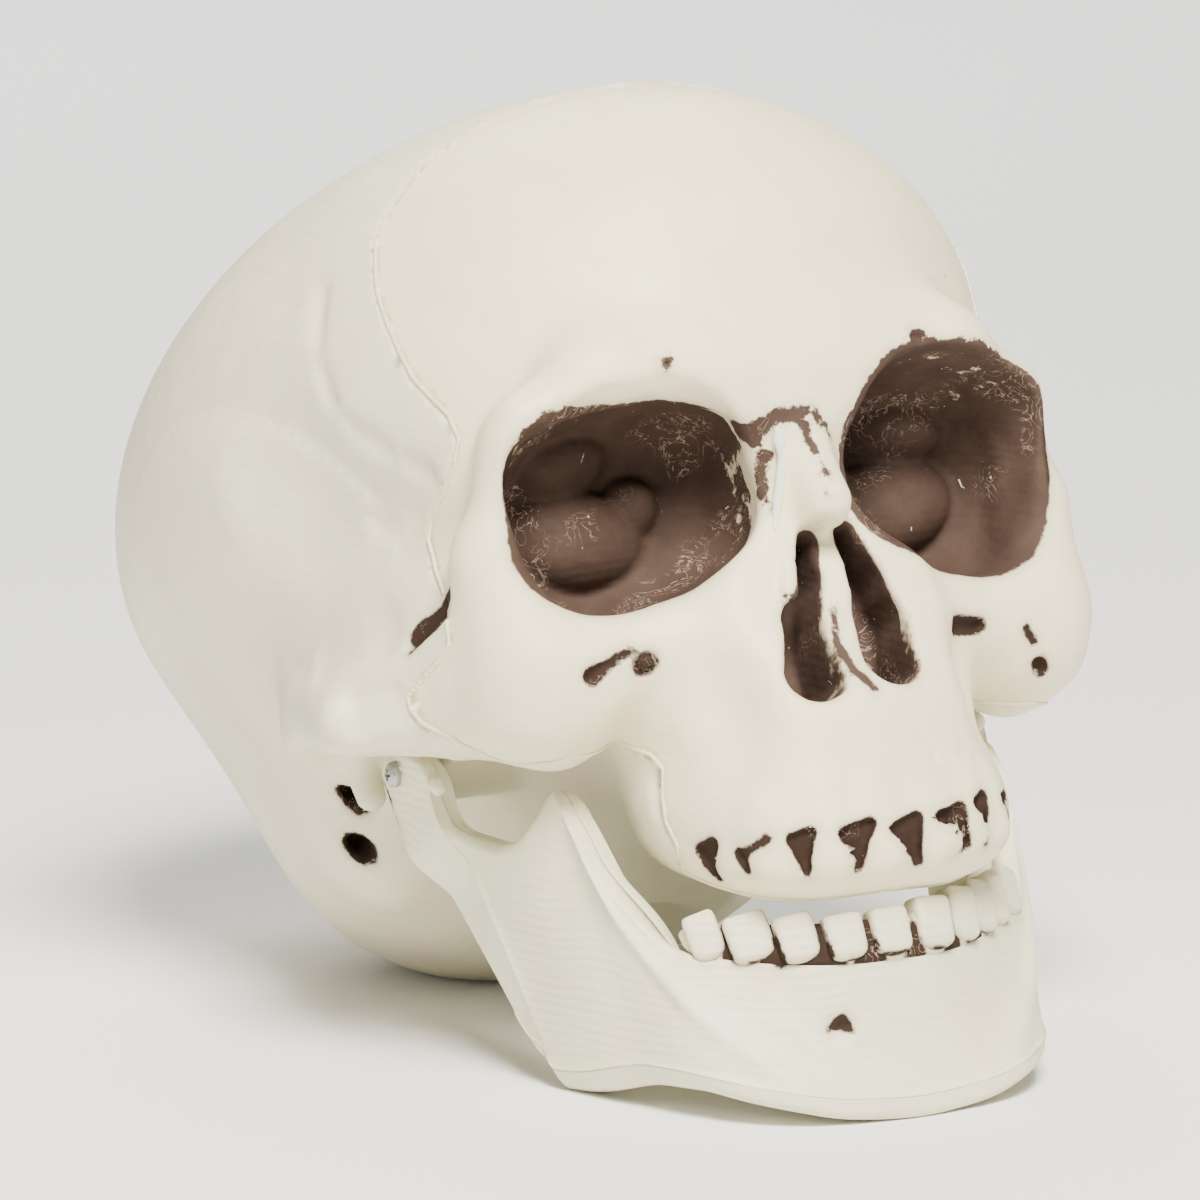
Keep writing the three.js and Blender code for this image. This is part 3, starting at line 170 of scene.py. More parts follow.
# Small features, seated on the skin where they are made: (action, blend, depth of the line under the
# skin, start, end, first radius, last radius, how far brown paint runs past them or 0 for none).
HEAD_MARKS = [
    # brushed gaps at the back teeth, and the roots of the front ones
    ("cut", 0.8, 0.2, (-25.5, 79.4, -43), (-24.8, 79, -45.4), 1.2, 0.8, 0.4),
    ("cut", 0.8, -0.1, (-25.6, 80.6, -43), (-22.9, 84, -42), 0.6, 0.9, 0.4),
    ("cut", 0.5, 0.1, (8.5, 86.7, -48.8), (11, 86.7, -48.3), 0.6, 0.5, 0.3),
    ("add", 3, 2.6, (-22.6, 82.5, -37), (-21.6, 81.5, -46), 3.2, 3.4, 0),
    ("add", 3, 2.8, (-13.6, 88.5, -36), (-13, 86, -47), 3.4, 3.7, 0),
    ("add", 3, 2.8, (-4.4, 90, -36), (-3.6, 87, -48), 3.2, 3.7, 0),
    ("add", 3, 2.8, (5.4, 90, -35.5), (7.4, 87.5, -47), 3.2, 3.7, 0),
    ("add", 3, 2.4, (14.6, 88.5, -36), (14.8, 86, -46), 2.4, 2.7, 0),
    ("add", 3, 2.6, (20, 85.5, -36), (20.4, 83, -45), 2.8, 3.2, 0),
    # holes and scratches in the cheeks, and the small holes over the orbits
    ("cut", 0.7, 0, (-33.3, 76.9, -8.6), (-32.9, 77, -8.2), 2.1, 1.9, 0.2),
    ("add", 0.3, 0.7, (-33.3, 76.9, -8.6), (-33, 77, -8.4), 1.1, 1.1, 0),
    ("cut", 0.7, 0.1, (-43, 76, -9.4), (-40.6, 76.5, -8.2), 1.3, 0.9, 0.5),
    ("cut", 0.7, 0, (-40.6, 76.5, -8.2), (-35.6, 77.4, -6.2), 0.9, 0.6, 0.4),
    ("cut", 0.8, 0.3, (25, 82, -9.6), (30.6, 78, -9), 1.5, 1.3, 0.5),
    ("cut", 0.8, 0.3, (43.4, 71.8, -15.9), (42.9, 72.4, -14.9), 1.3, 1.2, 0.4),
    ("cut", 0.5, 0, (41.4, 75, -11.6), (40.2, 75.8, -9.4), 0.6, 0.5, 0.4),
    ("cut", 0.7, 0.3, (23.6, 91.7, 38.7), (25.2, 91.3, 38.3), 1, 0.9, 0.5),
    ("cut", 0.7, 0.4, (-24, 91.4, 38), (-23.8, 91.4, 37.8), 1, 0.9, 0.3),
    # pits under the nose, ridges on its side, nicks round its tip
    ("cut", 0.7, -0.4, (8, 90.3, -33.5), (8.2, 90.2, -32.6), 0.8, 0.8, 0),
    ("cut", 0.7, -0.3, (14, 88.9, -33.2), (14.3, 88.8, -32), 0.8, 0.8, 0),
    ("add", 0.5, 0.2, (-6.1, 90.5, 25.2), (-6.3, 89.5, 20.6), 1, 0.8, 0),
    ("add", 0.5, 0.1, (-6.3, 89.5, 20.6), (-7.8, 86.7, 12.2), 0.8, 0.6, 0),
    ("add", 0.6, 0.3, (-7.7, 86.5, 3.2), (-9.2, 87.1, -1.4), 1.4, 1.7, 0),
    ("add", 0.5, 0.1, (-4.4, 93, 10.1), (-1.6, 94.4, 12.7), 0.5, 0.5, 0),
    ("add", 0.5, 0.1, (-1.6, 94.4, 12.7), (0.6, 95.3, 9.3), 0.5, 0.5, 0),
    ("add", 0.5, 0.1, (0.6, 95.3, 9.3), (-4.4, 93, 9.7), 0.5, 0.5, 0),
    # brow over the right orbit, notches behind the cheekbones, welt on the crown
    ("add", 5, 1.6, (-15, 86, 35), (-30, 85, 34.5), 3, 3.4, 0),
    ("add", 5, 1.6, (-30, 85, 34.5), (-45, 82.5, 31), 3.4, 2.8, 0),
    ("cut", 1, 0.4, (-61.8, 51, 6.4), (-58.7, 60.5, 9.2), 1.5, 1.1, 0.3),
    ("cut", 1, 0.4, (61.8, 51, 6.4), (58.7, 60.5, 9.2), 1.5, 1.1, 0.3),
    ("add", 0.6, 0.9, (-17, 58, 99), (-1, 58.5, 100), 1.3, 1.5, 0),
    ("add", 0.6, 1, (-1, 58.5, 100), (17, 57, 99), 1.5, 1.1, 0),
]
# The same for features on both sides: the suture's dents, the groove above the arch, the ridge on its root.
TWIN_MARKS = [
    ("cut", 2, -0.6, (-60, 46.2, 70), (-63, 46.2, 62), 1.6, 1.2, 0),
    ("cut", 1.6, -0.5, (-63.2, 45.9, 57), (-62.9, 45.7, 51.5), 1, 1.4, 0),
    ("cut", 1.6, -0.5, (-61.4, 47, 46.4), (-58, 51.8, 39.8), 1.2, 1.3, 0),
    ("cut", 1.6, -0.4, (-56, 54.8, 36.4), (-54, 57.8, 33.4), 1.2, 1.4, 0),
    ("cut", 2, -0.5, (-58, 41.4, 31), (-57.6, 42.8, 28.6), 1.5, 1.2, 0),
    ("cut", 4, -2, (-61, 56.5, 12), (-64, 44, 11.6), 4.2, 4.4, 0),
    ("cut", 4, -2.2, (-64, 44, 11.6), (-67, 28, 12), 4.4, 3.4, 0),
    ("add", 4, 1.8, (-65.4, 13, 10), (-69.4, 34, -0.4), 2.2, 2.3, 0),
    ("add", 3, 1.6, (-69.4, 34, -0.4), (-68.4, 35.9, -5), 2.3, 1.9, 0),
    ("cut", 2, -0.4, (-67, 39, 1), (-64, 46, 0), 1.6, 1.4, 0),
]
# The wedges between the upper teeth: left and right corner of each one's top, then its foot.
TOOTH_GAPS = [
    ((-29.2, 71, -39.4), (-27.4, 74.8, -39.4), (-27, 71, -45)),
    ((-19.4, 86, -43.2), (-16.8, 87.6, -42.8), (-17.5, 85, -49.2)),
    ((-11.6, 88.9, -43.9), (-6.6, 89.8, -43), (-8.8, 86.3, -49.6)),
    ((-2.4, 89.8, -44.4), (2.2, 90, -43), (2.4, 86.7, -49.8)),
    ((6.4, 89.9, -43.2), (11.2, 89.2, -42.2), (12.4, 87.6, -48.6)),
    ((15, 88.4, -41.4), (16.6, 88, -40.4), (16.3, 86.2, -48)),
    ((21.6, 85, -40.6), (23.4, 83.8, -39.6), (24, 80, -46.4)),
    ((29.2, 71, -39.4), (27.4, 74.8, -39.4), (27, 71, -45)),
]
TOOTH_MARKS = [
    ("cut", 0.6, 0.35, tuple(np.array(left) * (1 - share) + np.array(right) * share), foot, 0.75, 0.45, 0.65)
    for left, right, foot in TOOTH_GAPS for share in (0, 0.33, 0.67, 1)
] + [("cut", 0.6, 0.3, left, right, 0.75, 0.8, 0.65) for left, right, foot in TOOTH_GAPS]
# Brown paint with no feature under it: lines on the skin with a radius at each end, in the skull's level.
HEAD_BRUSHED = [
    ((-60.5, 52, 8), (-57.4, 61, 10.6), 2.6, 2),
    ((60.5, 52, 8), (57.4, 61, 10.6), 2.6, 2),
    ((-12.5, 84.5, 27.5), (-9, 88, 26.4), 2, 2),
    ((-9.4, 87.9, 25), (-6.5, 90.7, 27.2), 2.3, 1.5),
    ((-6.5, 90.7, 27.2), (0.6, 92.1, 27.2), 1.5, 1.1),
    ((0.6, 92.1, 27.2), (4.6, 90.8, 22.2), 0.9, 1),
    ((4.6, 90.8, 22.2), (8.4, 88.5, 19), 1, 0.8),
    ((-1.5, 91.8, 25), (-1.2, 92.3, 20.3), 1.3, 0.7),
    ((-1.2, 92.3, 20.3), (-0.4, 93.7, 15.6), 0.6, 0.5),
    ((-7.8, 86.8, 22), (-8.8, 83.8, 17), 1.6, 1.4),
    ((-8.6, 84, 17), (-8.4, 85.6, 12.5), 0.9, 0.6),
    ((-1.8, 94.2, 12.6), (-0.2, 95.2, 11.2), 0.4, 0.3),
    ((-1.8, 87, -5.4), (-3.7, 88.3, -11.4), 0.7, 0.9),
    ((-3.7, 88.3, -11.4), (-3.2, 90.7, -17.1), 0.9, 1),
    ((-3.2, 90.7, -17.1), (-0.9, 92.1, -21.1), 1, 0.8),
    ((-10.4, 87.3, -2.4), (-11.4, 87.6, -5.5), 0.7, 0.5),
    ((49.5, -4.5, -2), (51.5, -0.5, -8), 3.2, 2.8),
    ((47.5, -11, -9), (49.8, -6.5, -14), 2.8, 3.1),
    ((-49.5, -4.5, -2), (-51.5, -0.5, -8), 3.2, 2.8),
    ((-47.5, -11, -9), (-49.8, -6.5, -14), 2.8, 3.1),
]
# The parting line seen from inside the head, as shares of half a turn: the first number goes from
# straight down (0) to straight up (1), the second away from straight ahead. Both sides are alike.
PARTING = np.array([
    [0, 0.242], [0.044, 0.246], [0.089, 0.257], [0.12, 0.265], [0.142, 0.278], [0.162, 0.262],
    [0.176, 0.257], [0.188, 0.246], [0.202, 0.23], [0.217, 0.229], [0.233, 0.237], [0.25, 0.243],
    [0.267, 0.248], [0.286, 0.258], [0.3, 0.274], [0.317, 0.304], [0.341, 0.312], [0.363, 0.323],
    [0.382, 0.338], [0.397, 0.343], [0.408, 0.341], [0.415, 0.322], [0.422, 0.303], [0.431, 0.289],
    [0.461, 0.285], [0.499, 0.297], [0.522, 0.305], [0.54, 0.311], [0.558, 0.305], [0.573, 0.289],
    [0.597, 0.273], [0.622, 0.268], [0.644, 0.278], [0.674, 0.31], [0.694, 0.323], [0.731, 0.347],
    [0.767, 0.364], [0.811, 0.372], [0.847, 0.377], [0.894, 0.378], [0.944, 0.372], [1, 0.382],
]) * math.pi
HEAD_MIDDLE = np.array([0, 15, 20], np.float32)
FACE_AXIS_DROP = math.radians(5)


def turned(yaw, pitch, roll):
    """Columns are an egg's side, fore and up axes: fore lifted by pitch, then turned aside by yaw."""
    (cy, cp, cr), (sy, sp, sr) = np.cos(np.radians([yaw, pitch, roll])), np.sin(np.radians([yaw, pitch, roll]))
    yawed = np.array([[cy, sy, 0], [-sy, cy, 0], [0, 0, 1]])
    pitched = np.array([[1, 0, 0], [0, cp, -sp], [0, sp, cp]])
    rolled = np.array([[cr, 0, -sr], [0, 1, 0], [sr, 0, cr]])
    return (yawed @ pitched @ rolled).astype(np.float32)


def egg(places, centre, radii, turn=(0, 0, 0), power=2.0):
    """Near distance to an egg: with s the power-mean size of the place over the radii, (s - 1) over s's slope."""
    local = places - np.array(centre, np.float32)
    if any(turn):
        local = local @ turned(*turn)
    radii = np.array(radii, np.float32)
    share = np.abs(local / radii) + np.float32(1e-5)
    if power == 2:
        size = np.sqrt((share * share).sum(-1))
        slope = np.sqrt(((share / radii) ** 2).sum(-1)) / size
    else:
        near = share ** (power - 1)
        total = (near * share).sum(-1)
        size = total ** (1 / power)
        slope = np.sqrt(((near / radii) ** 2).sum(-1)) * size / total
    return (size - 1) / np.maximum(slope, 1e-4)


def limb(places, start, end, first, last):
    """Distance to the line from start to end, less a radius that runs evenly from first to last."""
    start = np.array(start, np.float32)
    along = np.array(end, np.float32) - start
    share = np.clip(((places - start) @ along) / (along @ along), 0, 1)
    return np.sqrt(((places - start - share[..., None] * along) ** 2).sum(-1)) - (first + (last - first) * share)


def added(form, piece, blend):
    """The nearer of two forms, with a fillet as wide as the blend where they meet."""
    near = np.maximum(blend - np.abs(form - piece), 0)
    return np.minimum(form, piece) - near * near / (4 * blend)


def cut(form, piece, blend):
    """A form less a piece, with a rounding as wide as the blend along the edge."""
    return -added(-form, piece, blend)


def slot(places, start, end, first, last):
    """Distance to a line seen from straight ahead, less its radius, ended by a flat floor at NOSE_BACK."""
    ahead = places * np.array([1, 0, 1], np.float32)
    return cut(limb(ahead, start, end, first, last), places[..., 1] - NOSE_BACK, 2)


def both_sides(places):
    """Folds the left half over the right, with the midline crease softened."""
    folded = places.astype(np.float32).copy()
    folded[..., 0] = np.sqrt(folded[..., 0] ** 2 + 2)
    return folded


SLOT_MIDDLE, SLOT_REACH = np.array([0, 84, 0]), 16
SPARE = 6  # a row is worked out this far past its own reach: more than twice the wall


def carved(form, places, rows):
    """A form after every row in turn. A row is worked out only where it reaches: within its own size, its blend
    and the wall of its middle, since further off it can't move the skin."""
    for action, blend, kind, *numbers in rows:
        first, second = np.array(numbers[0], float), np.array(numbers[1], float)
        middle = first if kind == "egg" else (first + second) / 2
        reach = 1.2 * max(second) if kind == "egg" else np.linalg.norm(second - first) / 2 + max(numbers[2:4])
        middle, reach = (middle + SLOT_MIDDLE, reach + SLOT_REACH) if kind == "slot" else (middle, reach)
        near = ((places - middle.astype(np.float32)) ** 2).sum(-1) < (reach + blend + SPARE) ** 2
        if near.any():
            piece = {"egg": egg, "limb": limb, "slot": slot}[kind](places[near], *numbers)
            form[near] = (added if action == "add" else cut)(form[near], piece, blend)
    return form


def plain_form(places):
    """Signed distance to the head's main skin: the brain case, then every other row of HEAD_FORM."""
    folded = both_sides(places)
    return carved(egg(folded, *HEAD_FORM[0][3:]), folded, HEAD_FORM[1:])


def slope_of(form, places):
    """A form's value and its slope at each place, by steps of a fifth of a millimetre."""
    here = form(places)
    slope = np.stack([(form(places + 0.2 * axis) - here) / 0.2 for axis in np.eye(3, dtype=np.float32)], -1)
    return here, slope


def drawn_to(form, places, level, rounds=2, longest=0.8):
    """Places moved down the form's slope until its value is the level given."""
    for _ in range(rounds):
        here, slope = slope_of(form, places)
        step = np.clip((here - level) / np.maximum((slope ** 2).sum(-1), 0.25), -longest, longest)
        places = places - step[:, None] * slope
    return places


marks = HEAD_MARKS + TWIN_MARKS + TOOTH_MARKS + [
    (*mark[:3], *[(-end[0], end[1], end[2]) for end in mark[3:5]], *mark[5:]) for mark in TWIN_MARKS
]
seats = np.array([end for mark in marks for end in mark[3:5]], np.float32)
unders = np.repeat([mark[2] for mark in marks], 2)
seats = drawn_to(plain_form, seats, -unders, rounds=8, longest=1.5)
NOSE_ROWS = [
    ("cut", 1.6, "slot", (a[0], 0, a[1]), (b[0], 0, b[1]), a[2], b[2])
    for hole in NOSE_HOLES for a, b in zip(hole[:-1], hole[1:])
]
MARK_ROWS = [
    (mark[0], mark[1], "limb", seats[2 * i], seats[2 * i + 1], mark[5], mark[6]) for i, mark in enumerate(marks)
]


def parting(places):
    """Signed distance to the parting sheet, negative on the face's side: the swing from straight ahead less the
    line's own swing at that turn, times the reach from the head's middle, over the line's steepness there."""
    x, fore, up = np.moveaxis(places - HEAD_MIDDLE, -1, 0)
    ahead = fore * math.cos(FACE_AXIS_DROP) - up * math.sin(FACE_AXIS_DROP)
    above = fore * math.sin(FACE_AXIS_DROP) + up * math.cos(FACE_AXIS_DROP)
    across = np.sqrt(x * x + above * above)
    reach = np.sqrt(across * across + ahead * ahead)
    turn = np.arctan2(np.abs(x), -above)
    line = np.interp(turn, PARTING[:, 0], PARTING[:, 1])
    ahead_of, behind = (np.interp(turn + step, PARTING[:, 0], PARTING[:, 1]) for step in (0.01, -0.01))
    slope = (ahead_of - behind) / 0.02
    steep = np.sqrt(1 + (slope / np.maximum(np.sin(line), 0.2)) ** 2)
    return (np.arctan2(across, ahead) - line) * reach / steep


def head_form(places):
    """Signed distance to the whole skin: the main form with its nose and marks, the step down outside the oval
    plate of the temple, which fades away from it, and the flat foot."""
    form = carved(plain_form(places), places, NOSE_ROWS)
    form = carved(form, places, MARK_ROWS)
    x, fore, up = np.moveaxis(places, -1, 0)
    oval = np.hypot((fore - PLATE_CENTRE[0]) / PLATE_RADII[0], (up - PLATE_CENTRE[1]) / PLATE_RADII[1])
    step = np.clip((oval - 1) * 30, 0, 1) * np.exp(-np.maximum(oval - 1, 0) * 5)
    shown = np.clip((np.abs(x) - 48) / 8, 0, 1) * np.clip((up - 18) / 16, 0, 1)
    form = form + PLATE_STEP * step * shown
    floor = fore * math.sin(STANDING_TILT) + up * math.cos(STANDING_TILT) + EARS[2]
    return cut(form, floor, 0.6)


def planes(*runs):
    """Grid planes along one axis, whose spacing changes from run to run: each run is (from, to, spacing)."""
    parts = [np.arange(low, high - spacing * 0.3, spacing) for low, high, spacing in runs]
    return np.append(np.concatenate(parts), runs[-1][1]).astype(np.float32)


def on_grid(form, grid, band=13.0):
    """A form's values on a grid: first at every fourth plane, then again at each place that lies near the skin."""
    coarse = [axis[::4] for axis in grid]
    corners = np.stack(np.meshgrid(*coarse, indexing="ij"), -1)
    rough = form(corners.reshape(-1, 3)).reshape(corners.shape[:3])
    nearest = [np.minimum((np.arange(len(axis)) + 2) // 4, len(axis[::4]) - 1) for axis in grid]
    value = rough[np.ix_(*nearest)].astype(np.float32)
    at = np.argwhere(np.abs(value) < band)
    places = np.stack([grid[i][at[:, i]] for i in range(3)], -1)
    fine = [form(places[i : i + 300000]) for i in range(0, len(places), 300000)]
    value[tuple(at.T)] = np.concatenate(fine)
    return value


def net(value, grid):
    """A surface net over a block of distances: each cell that the surface crosses gets one point, the mean of the
    crossings on its edges, and each grid edge that is crossed gets one face through the four cells round it."""
    inside = value < 0
    size = np.array(value.shape) - 1
    full = np.zeros(size, np.int8)
    for i, j, k in np.ndindex(2, 2, 2):
        full += inside[i : i + size[0], j : j + size[1], k : k + size[2]]
    live = (full > 0) & (full < 8)
    cells = np.argwhere(live)
    index = np.full(size, -1)
    index[live] = np.arange(len(cells))
    total, hits = np.zeros((len(cells), 3)), np.zeros(len(cells))
    faces = []
    for axis in range(3):
        one, two = np.eye(3, dtype=int)[[(axis + 1) % 3, (axis + 2) % 3]]
        for a, b in np.ndindex(2, 2):
            start = cells + one * a + two * b
            end = start + np.eye(3, dtype=int)[axis]
            first, last = value[tuple(start.T)], value[tuple(end.T)]
            crossed = (first < 0) != (last < 0)
            share = np.where(crossed, first / np.where(crossed, first - last, 1), 0)
            low, high = (np.stack([grid[i][at[:, i]] for i in range(3)], -1) for at in (start, end))
            total += crossed[:, None] * (low + share[:, None] * (high - low))
            hits += crossed
        low_end = np.moveaxis(np.moveaxis(inside, axis, 0)[:-1], 0, axis)
        high_end = np.moveaxis(np.moveaxis(inside, axis, 0)[1:], 0, axis)
        edges = np.argwhere(low_end != high_end)
        within = [(edges @ way > 0) & (edges @ way < size @ way) for way in (one, two)]
        edges = edges[within[0] & within[1]]
        round_edge = [index[tuple((edges - shift).T)] for shift in (one + two, two, 0 * one, one)]
        quads = np.stack(round_edge, 1)
        outward = low_end[tuple(edges.T)]
        quads[outward] = quads[outward][:, ::-1]
        faces.append(quads)
    return (total / hits[:, None]).astype(np.float32), np.concatenate(faces), cells


def changes(value, cells):
    """Whether a block of distances changes sign among the eight corners of each cell."""
    corners = np.stack([value[tuple((cells + corner).T)] < 0 for corner in np.ndindex(2, 2, 2)])
    return corners.any(0) & ~corners.all(0)


def shell(side, grid):
    """One shell's points and faces: inside the skin, outside the wall's inner face, and on its own side of the
    parting sheet. Points on the skin are drawn to it, and those on its edge to both the skin and the sheet."""
    bare = on_grid(head_form, grid)
    block = np.stack(np.meshgrid(*grid, indexing="ij"), -1)
    sheet = parting(block) * side + SEAM_GAP / 2
    places, faces, cells = net(np.maximum(np.maximum(bare, -(bare + WALL)), sheet), grid)
    on_skin, on_sheet = changes(bare, cells), changes(sheet, cells)
    edge = on_skin & on_sheet
    face = on_skin & ~on_sheet
    places[face] = drawn_to(head_form, places[face], 0)
    for _ in range(3):
        places[edge] = drawn_to(head_form, places[edge], 0, rounds=1, longest=1.5)
        places[edge] = drawn_to(parting, places[edge], -side * SEAM_GAP / 2, rounds=1, longest=1.5)
    return places, faces


def standing(places):
    """The skull's own level (side, fore, up, in mm) tilted back about the side axis as it stands, in metres."""
    side, fore, up = places[..., 0], places[..., 1], places[..., 2]
    back = fore * math.cos(STANDING_TILT) - up * math.sin(STANDING_TILT)
    rise = fore * math.sin(STANDING_TILT) + up * math.cos(STANDING_TILT)
    return np.stack([side + EARS[0], EARS[1] - back, EARS[2] + rise], -1) / 1000


def new_piece(name, places, faces, material, values):
    """A smooth mesh standing where the frame has it, with named numbers at its points."""
    mesh = bpy.data.meshes.new(name)
    mesh.vertices.add(len(places))
    mesh.vertices.foreach_set("co", standing(places).astype(np.float32).ravel())
    sizes = np.concatenate([np.full(len(part), part.shape[1], np.int32) for part in faces])
    mesh.loops.add(int(sizes.sum()))
    mesh.loops.foreach_set("vertex_index", np.concatenate([part.ravel() for part in faces]).astype(np.int32))
    mesh.polygons.add(len(sizes))
    mesh.polygons.foreach_set("loop_start", (np.cumsum(sizes) - sizes).astype(np.int32))
    mesh.polygons.foreach_set("use_smooth", np.ones(len(sizes), bool))
    mesh.update(calc_edges=True)
    for key, numbers in values.items():
        mesh.attributes.new(key, "FLOAT", "POINT").data.foreach_set("value", numbers.astype(np.float32))
    mesh.materials.append(material)
    piece = bpy.data.objects.new(name, mesh)
    bpy.context.scene.collection.objects.link(piece)
    return piece


def lines_depth(places, lines):
    """How far a place lies inside the thickest of several tapering lines, in mm, negative outside."""
    depth = np.full(len(places), -9.0, np.float32)
    for line in lines:
        depth = np.maximum(depth, -limb(places, *line))
    return depth


def stain_depth(places):
    """How far a place lies inside the brown paint, in mm: the orbits, the nose, the holes and the tooth gaps."""
    folded = both_sides(places)
    side, fore, up = np.moveaxis(folded, -1, 0)
    right = places[:, 0] < 0
    hole = egg(folded, *ORBIT_HOLE)
    right_rim = np.minimum(-0.2 - egg(folded, *RIGHT_PAINT), 85.6 - fore + 3 * np.clip(24 - up, 0, 9))
    left_rim = -egg(folded, *LEFT_PAINT)
    inner = -egg(folded, (27, 62, 20), (24, 15, 18))
    roof = np.minimum(np.minimum(2.2 - 0.17 * np.clip(side - 36, 0, None) - hole, 83.5 - fore), up - 25)
    wall = np.minimum(0.8 - hole, 78.5 - fore)
    orbit = np.maximum.reduce([np.where(right, right_rim, left_rim), inner, roof, wall])
    orbit = np.where(fore > 30, np.minimum(orbit, np.where(right, 51.7, 53.2) - side), -9)
    ahead = places * np.array([1, 0, 1], np.float32)
    nose = lines_depth(ahead, [(row[3], row[4], row[5] + 0.3, row[6] + 0.3) for row in NOSE_ROWS])
    nose = np.where(places[:, 1] > NOSE_BACK - 4, nose + np.clip((85 - places[:, 1]) * 1.2, 0, 3.5), -9)
    painted = [
        (*seats[2 * i : 2 * i + 2], mark[5] + mark[7], mark[6] + mark[7]) for i, mark in enumerate(marks) if mark[7]
    ]
    return np.maximum(np.maximum(orbit, nose), lines_depth(places, painted + HEAD_BRUSHED))


def ragged_edge(places):
    """How far the paint's edge wanders, in mm: dry brushed over the upper rims and the root of the nose, cleaner
    at the lower rims."""
    upper = np.clip((places[:, 2] - 24) / 8, 0, 1) * (np.abs(places[:, 0]) > 9)
    root = (np.abs(places[:, 0]) <= 10) & (places[:, 2] > 11)
    return 0.4 + 0.7 * upper + 0.8 * root - 0.12 * (places[:, 2] < -30)


def thick_paint_and_pit_shade(places):
    """One in the small marks, where the brown lies thick and is darkened further as painted shade of the pits; none
    in the orbits and the nose, where it was brushed out.
    """
    side, fore, up = np.abs(places[:, 0]), places[:, 1], places[:, 2]
    return ((up < -26) | (fore < 30) | (side > 52) | ((up < -3) & (side > 20))).astype(np.float32)


def add_node(tree, kind, sockets=None, **settings):
    """One shader node with its settings; sockets maps an input to a value, to the output that feeds it, or to a
    node whose first output does."""
    made = tree.nodes.new("ShaderNode" + kind)
    for name, value in settings.items():
        setattr(made, name, value)
    for name, value in (sockets or {}).items():
        source = value.outputs[0] if isinstance(value, bpy.types.Node) else value
        if isinstance(source, bpy.types.NodeSocket):
            tree.links.new(source, made.inputs[name])
        else:
            made.inputs[name].default_value = source
    return made


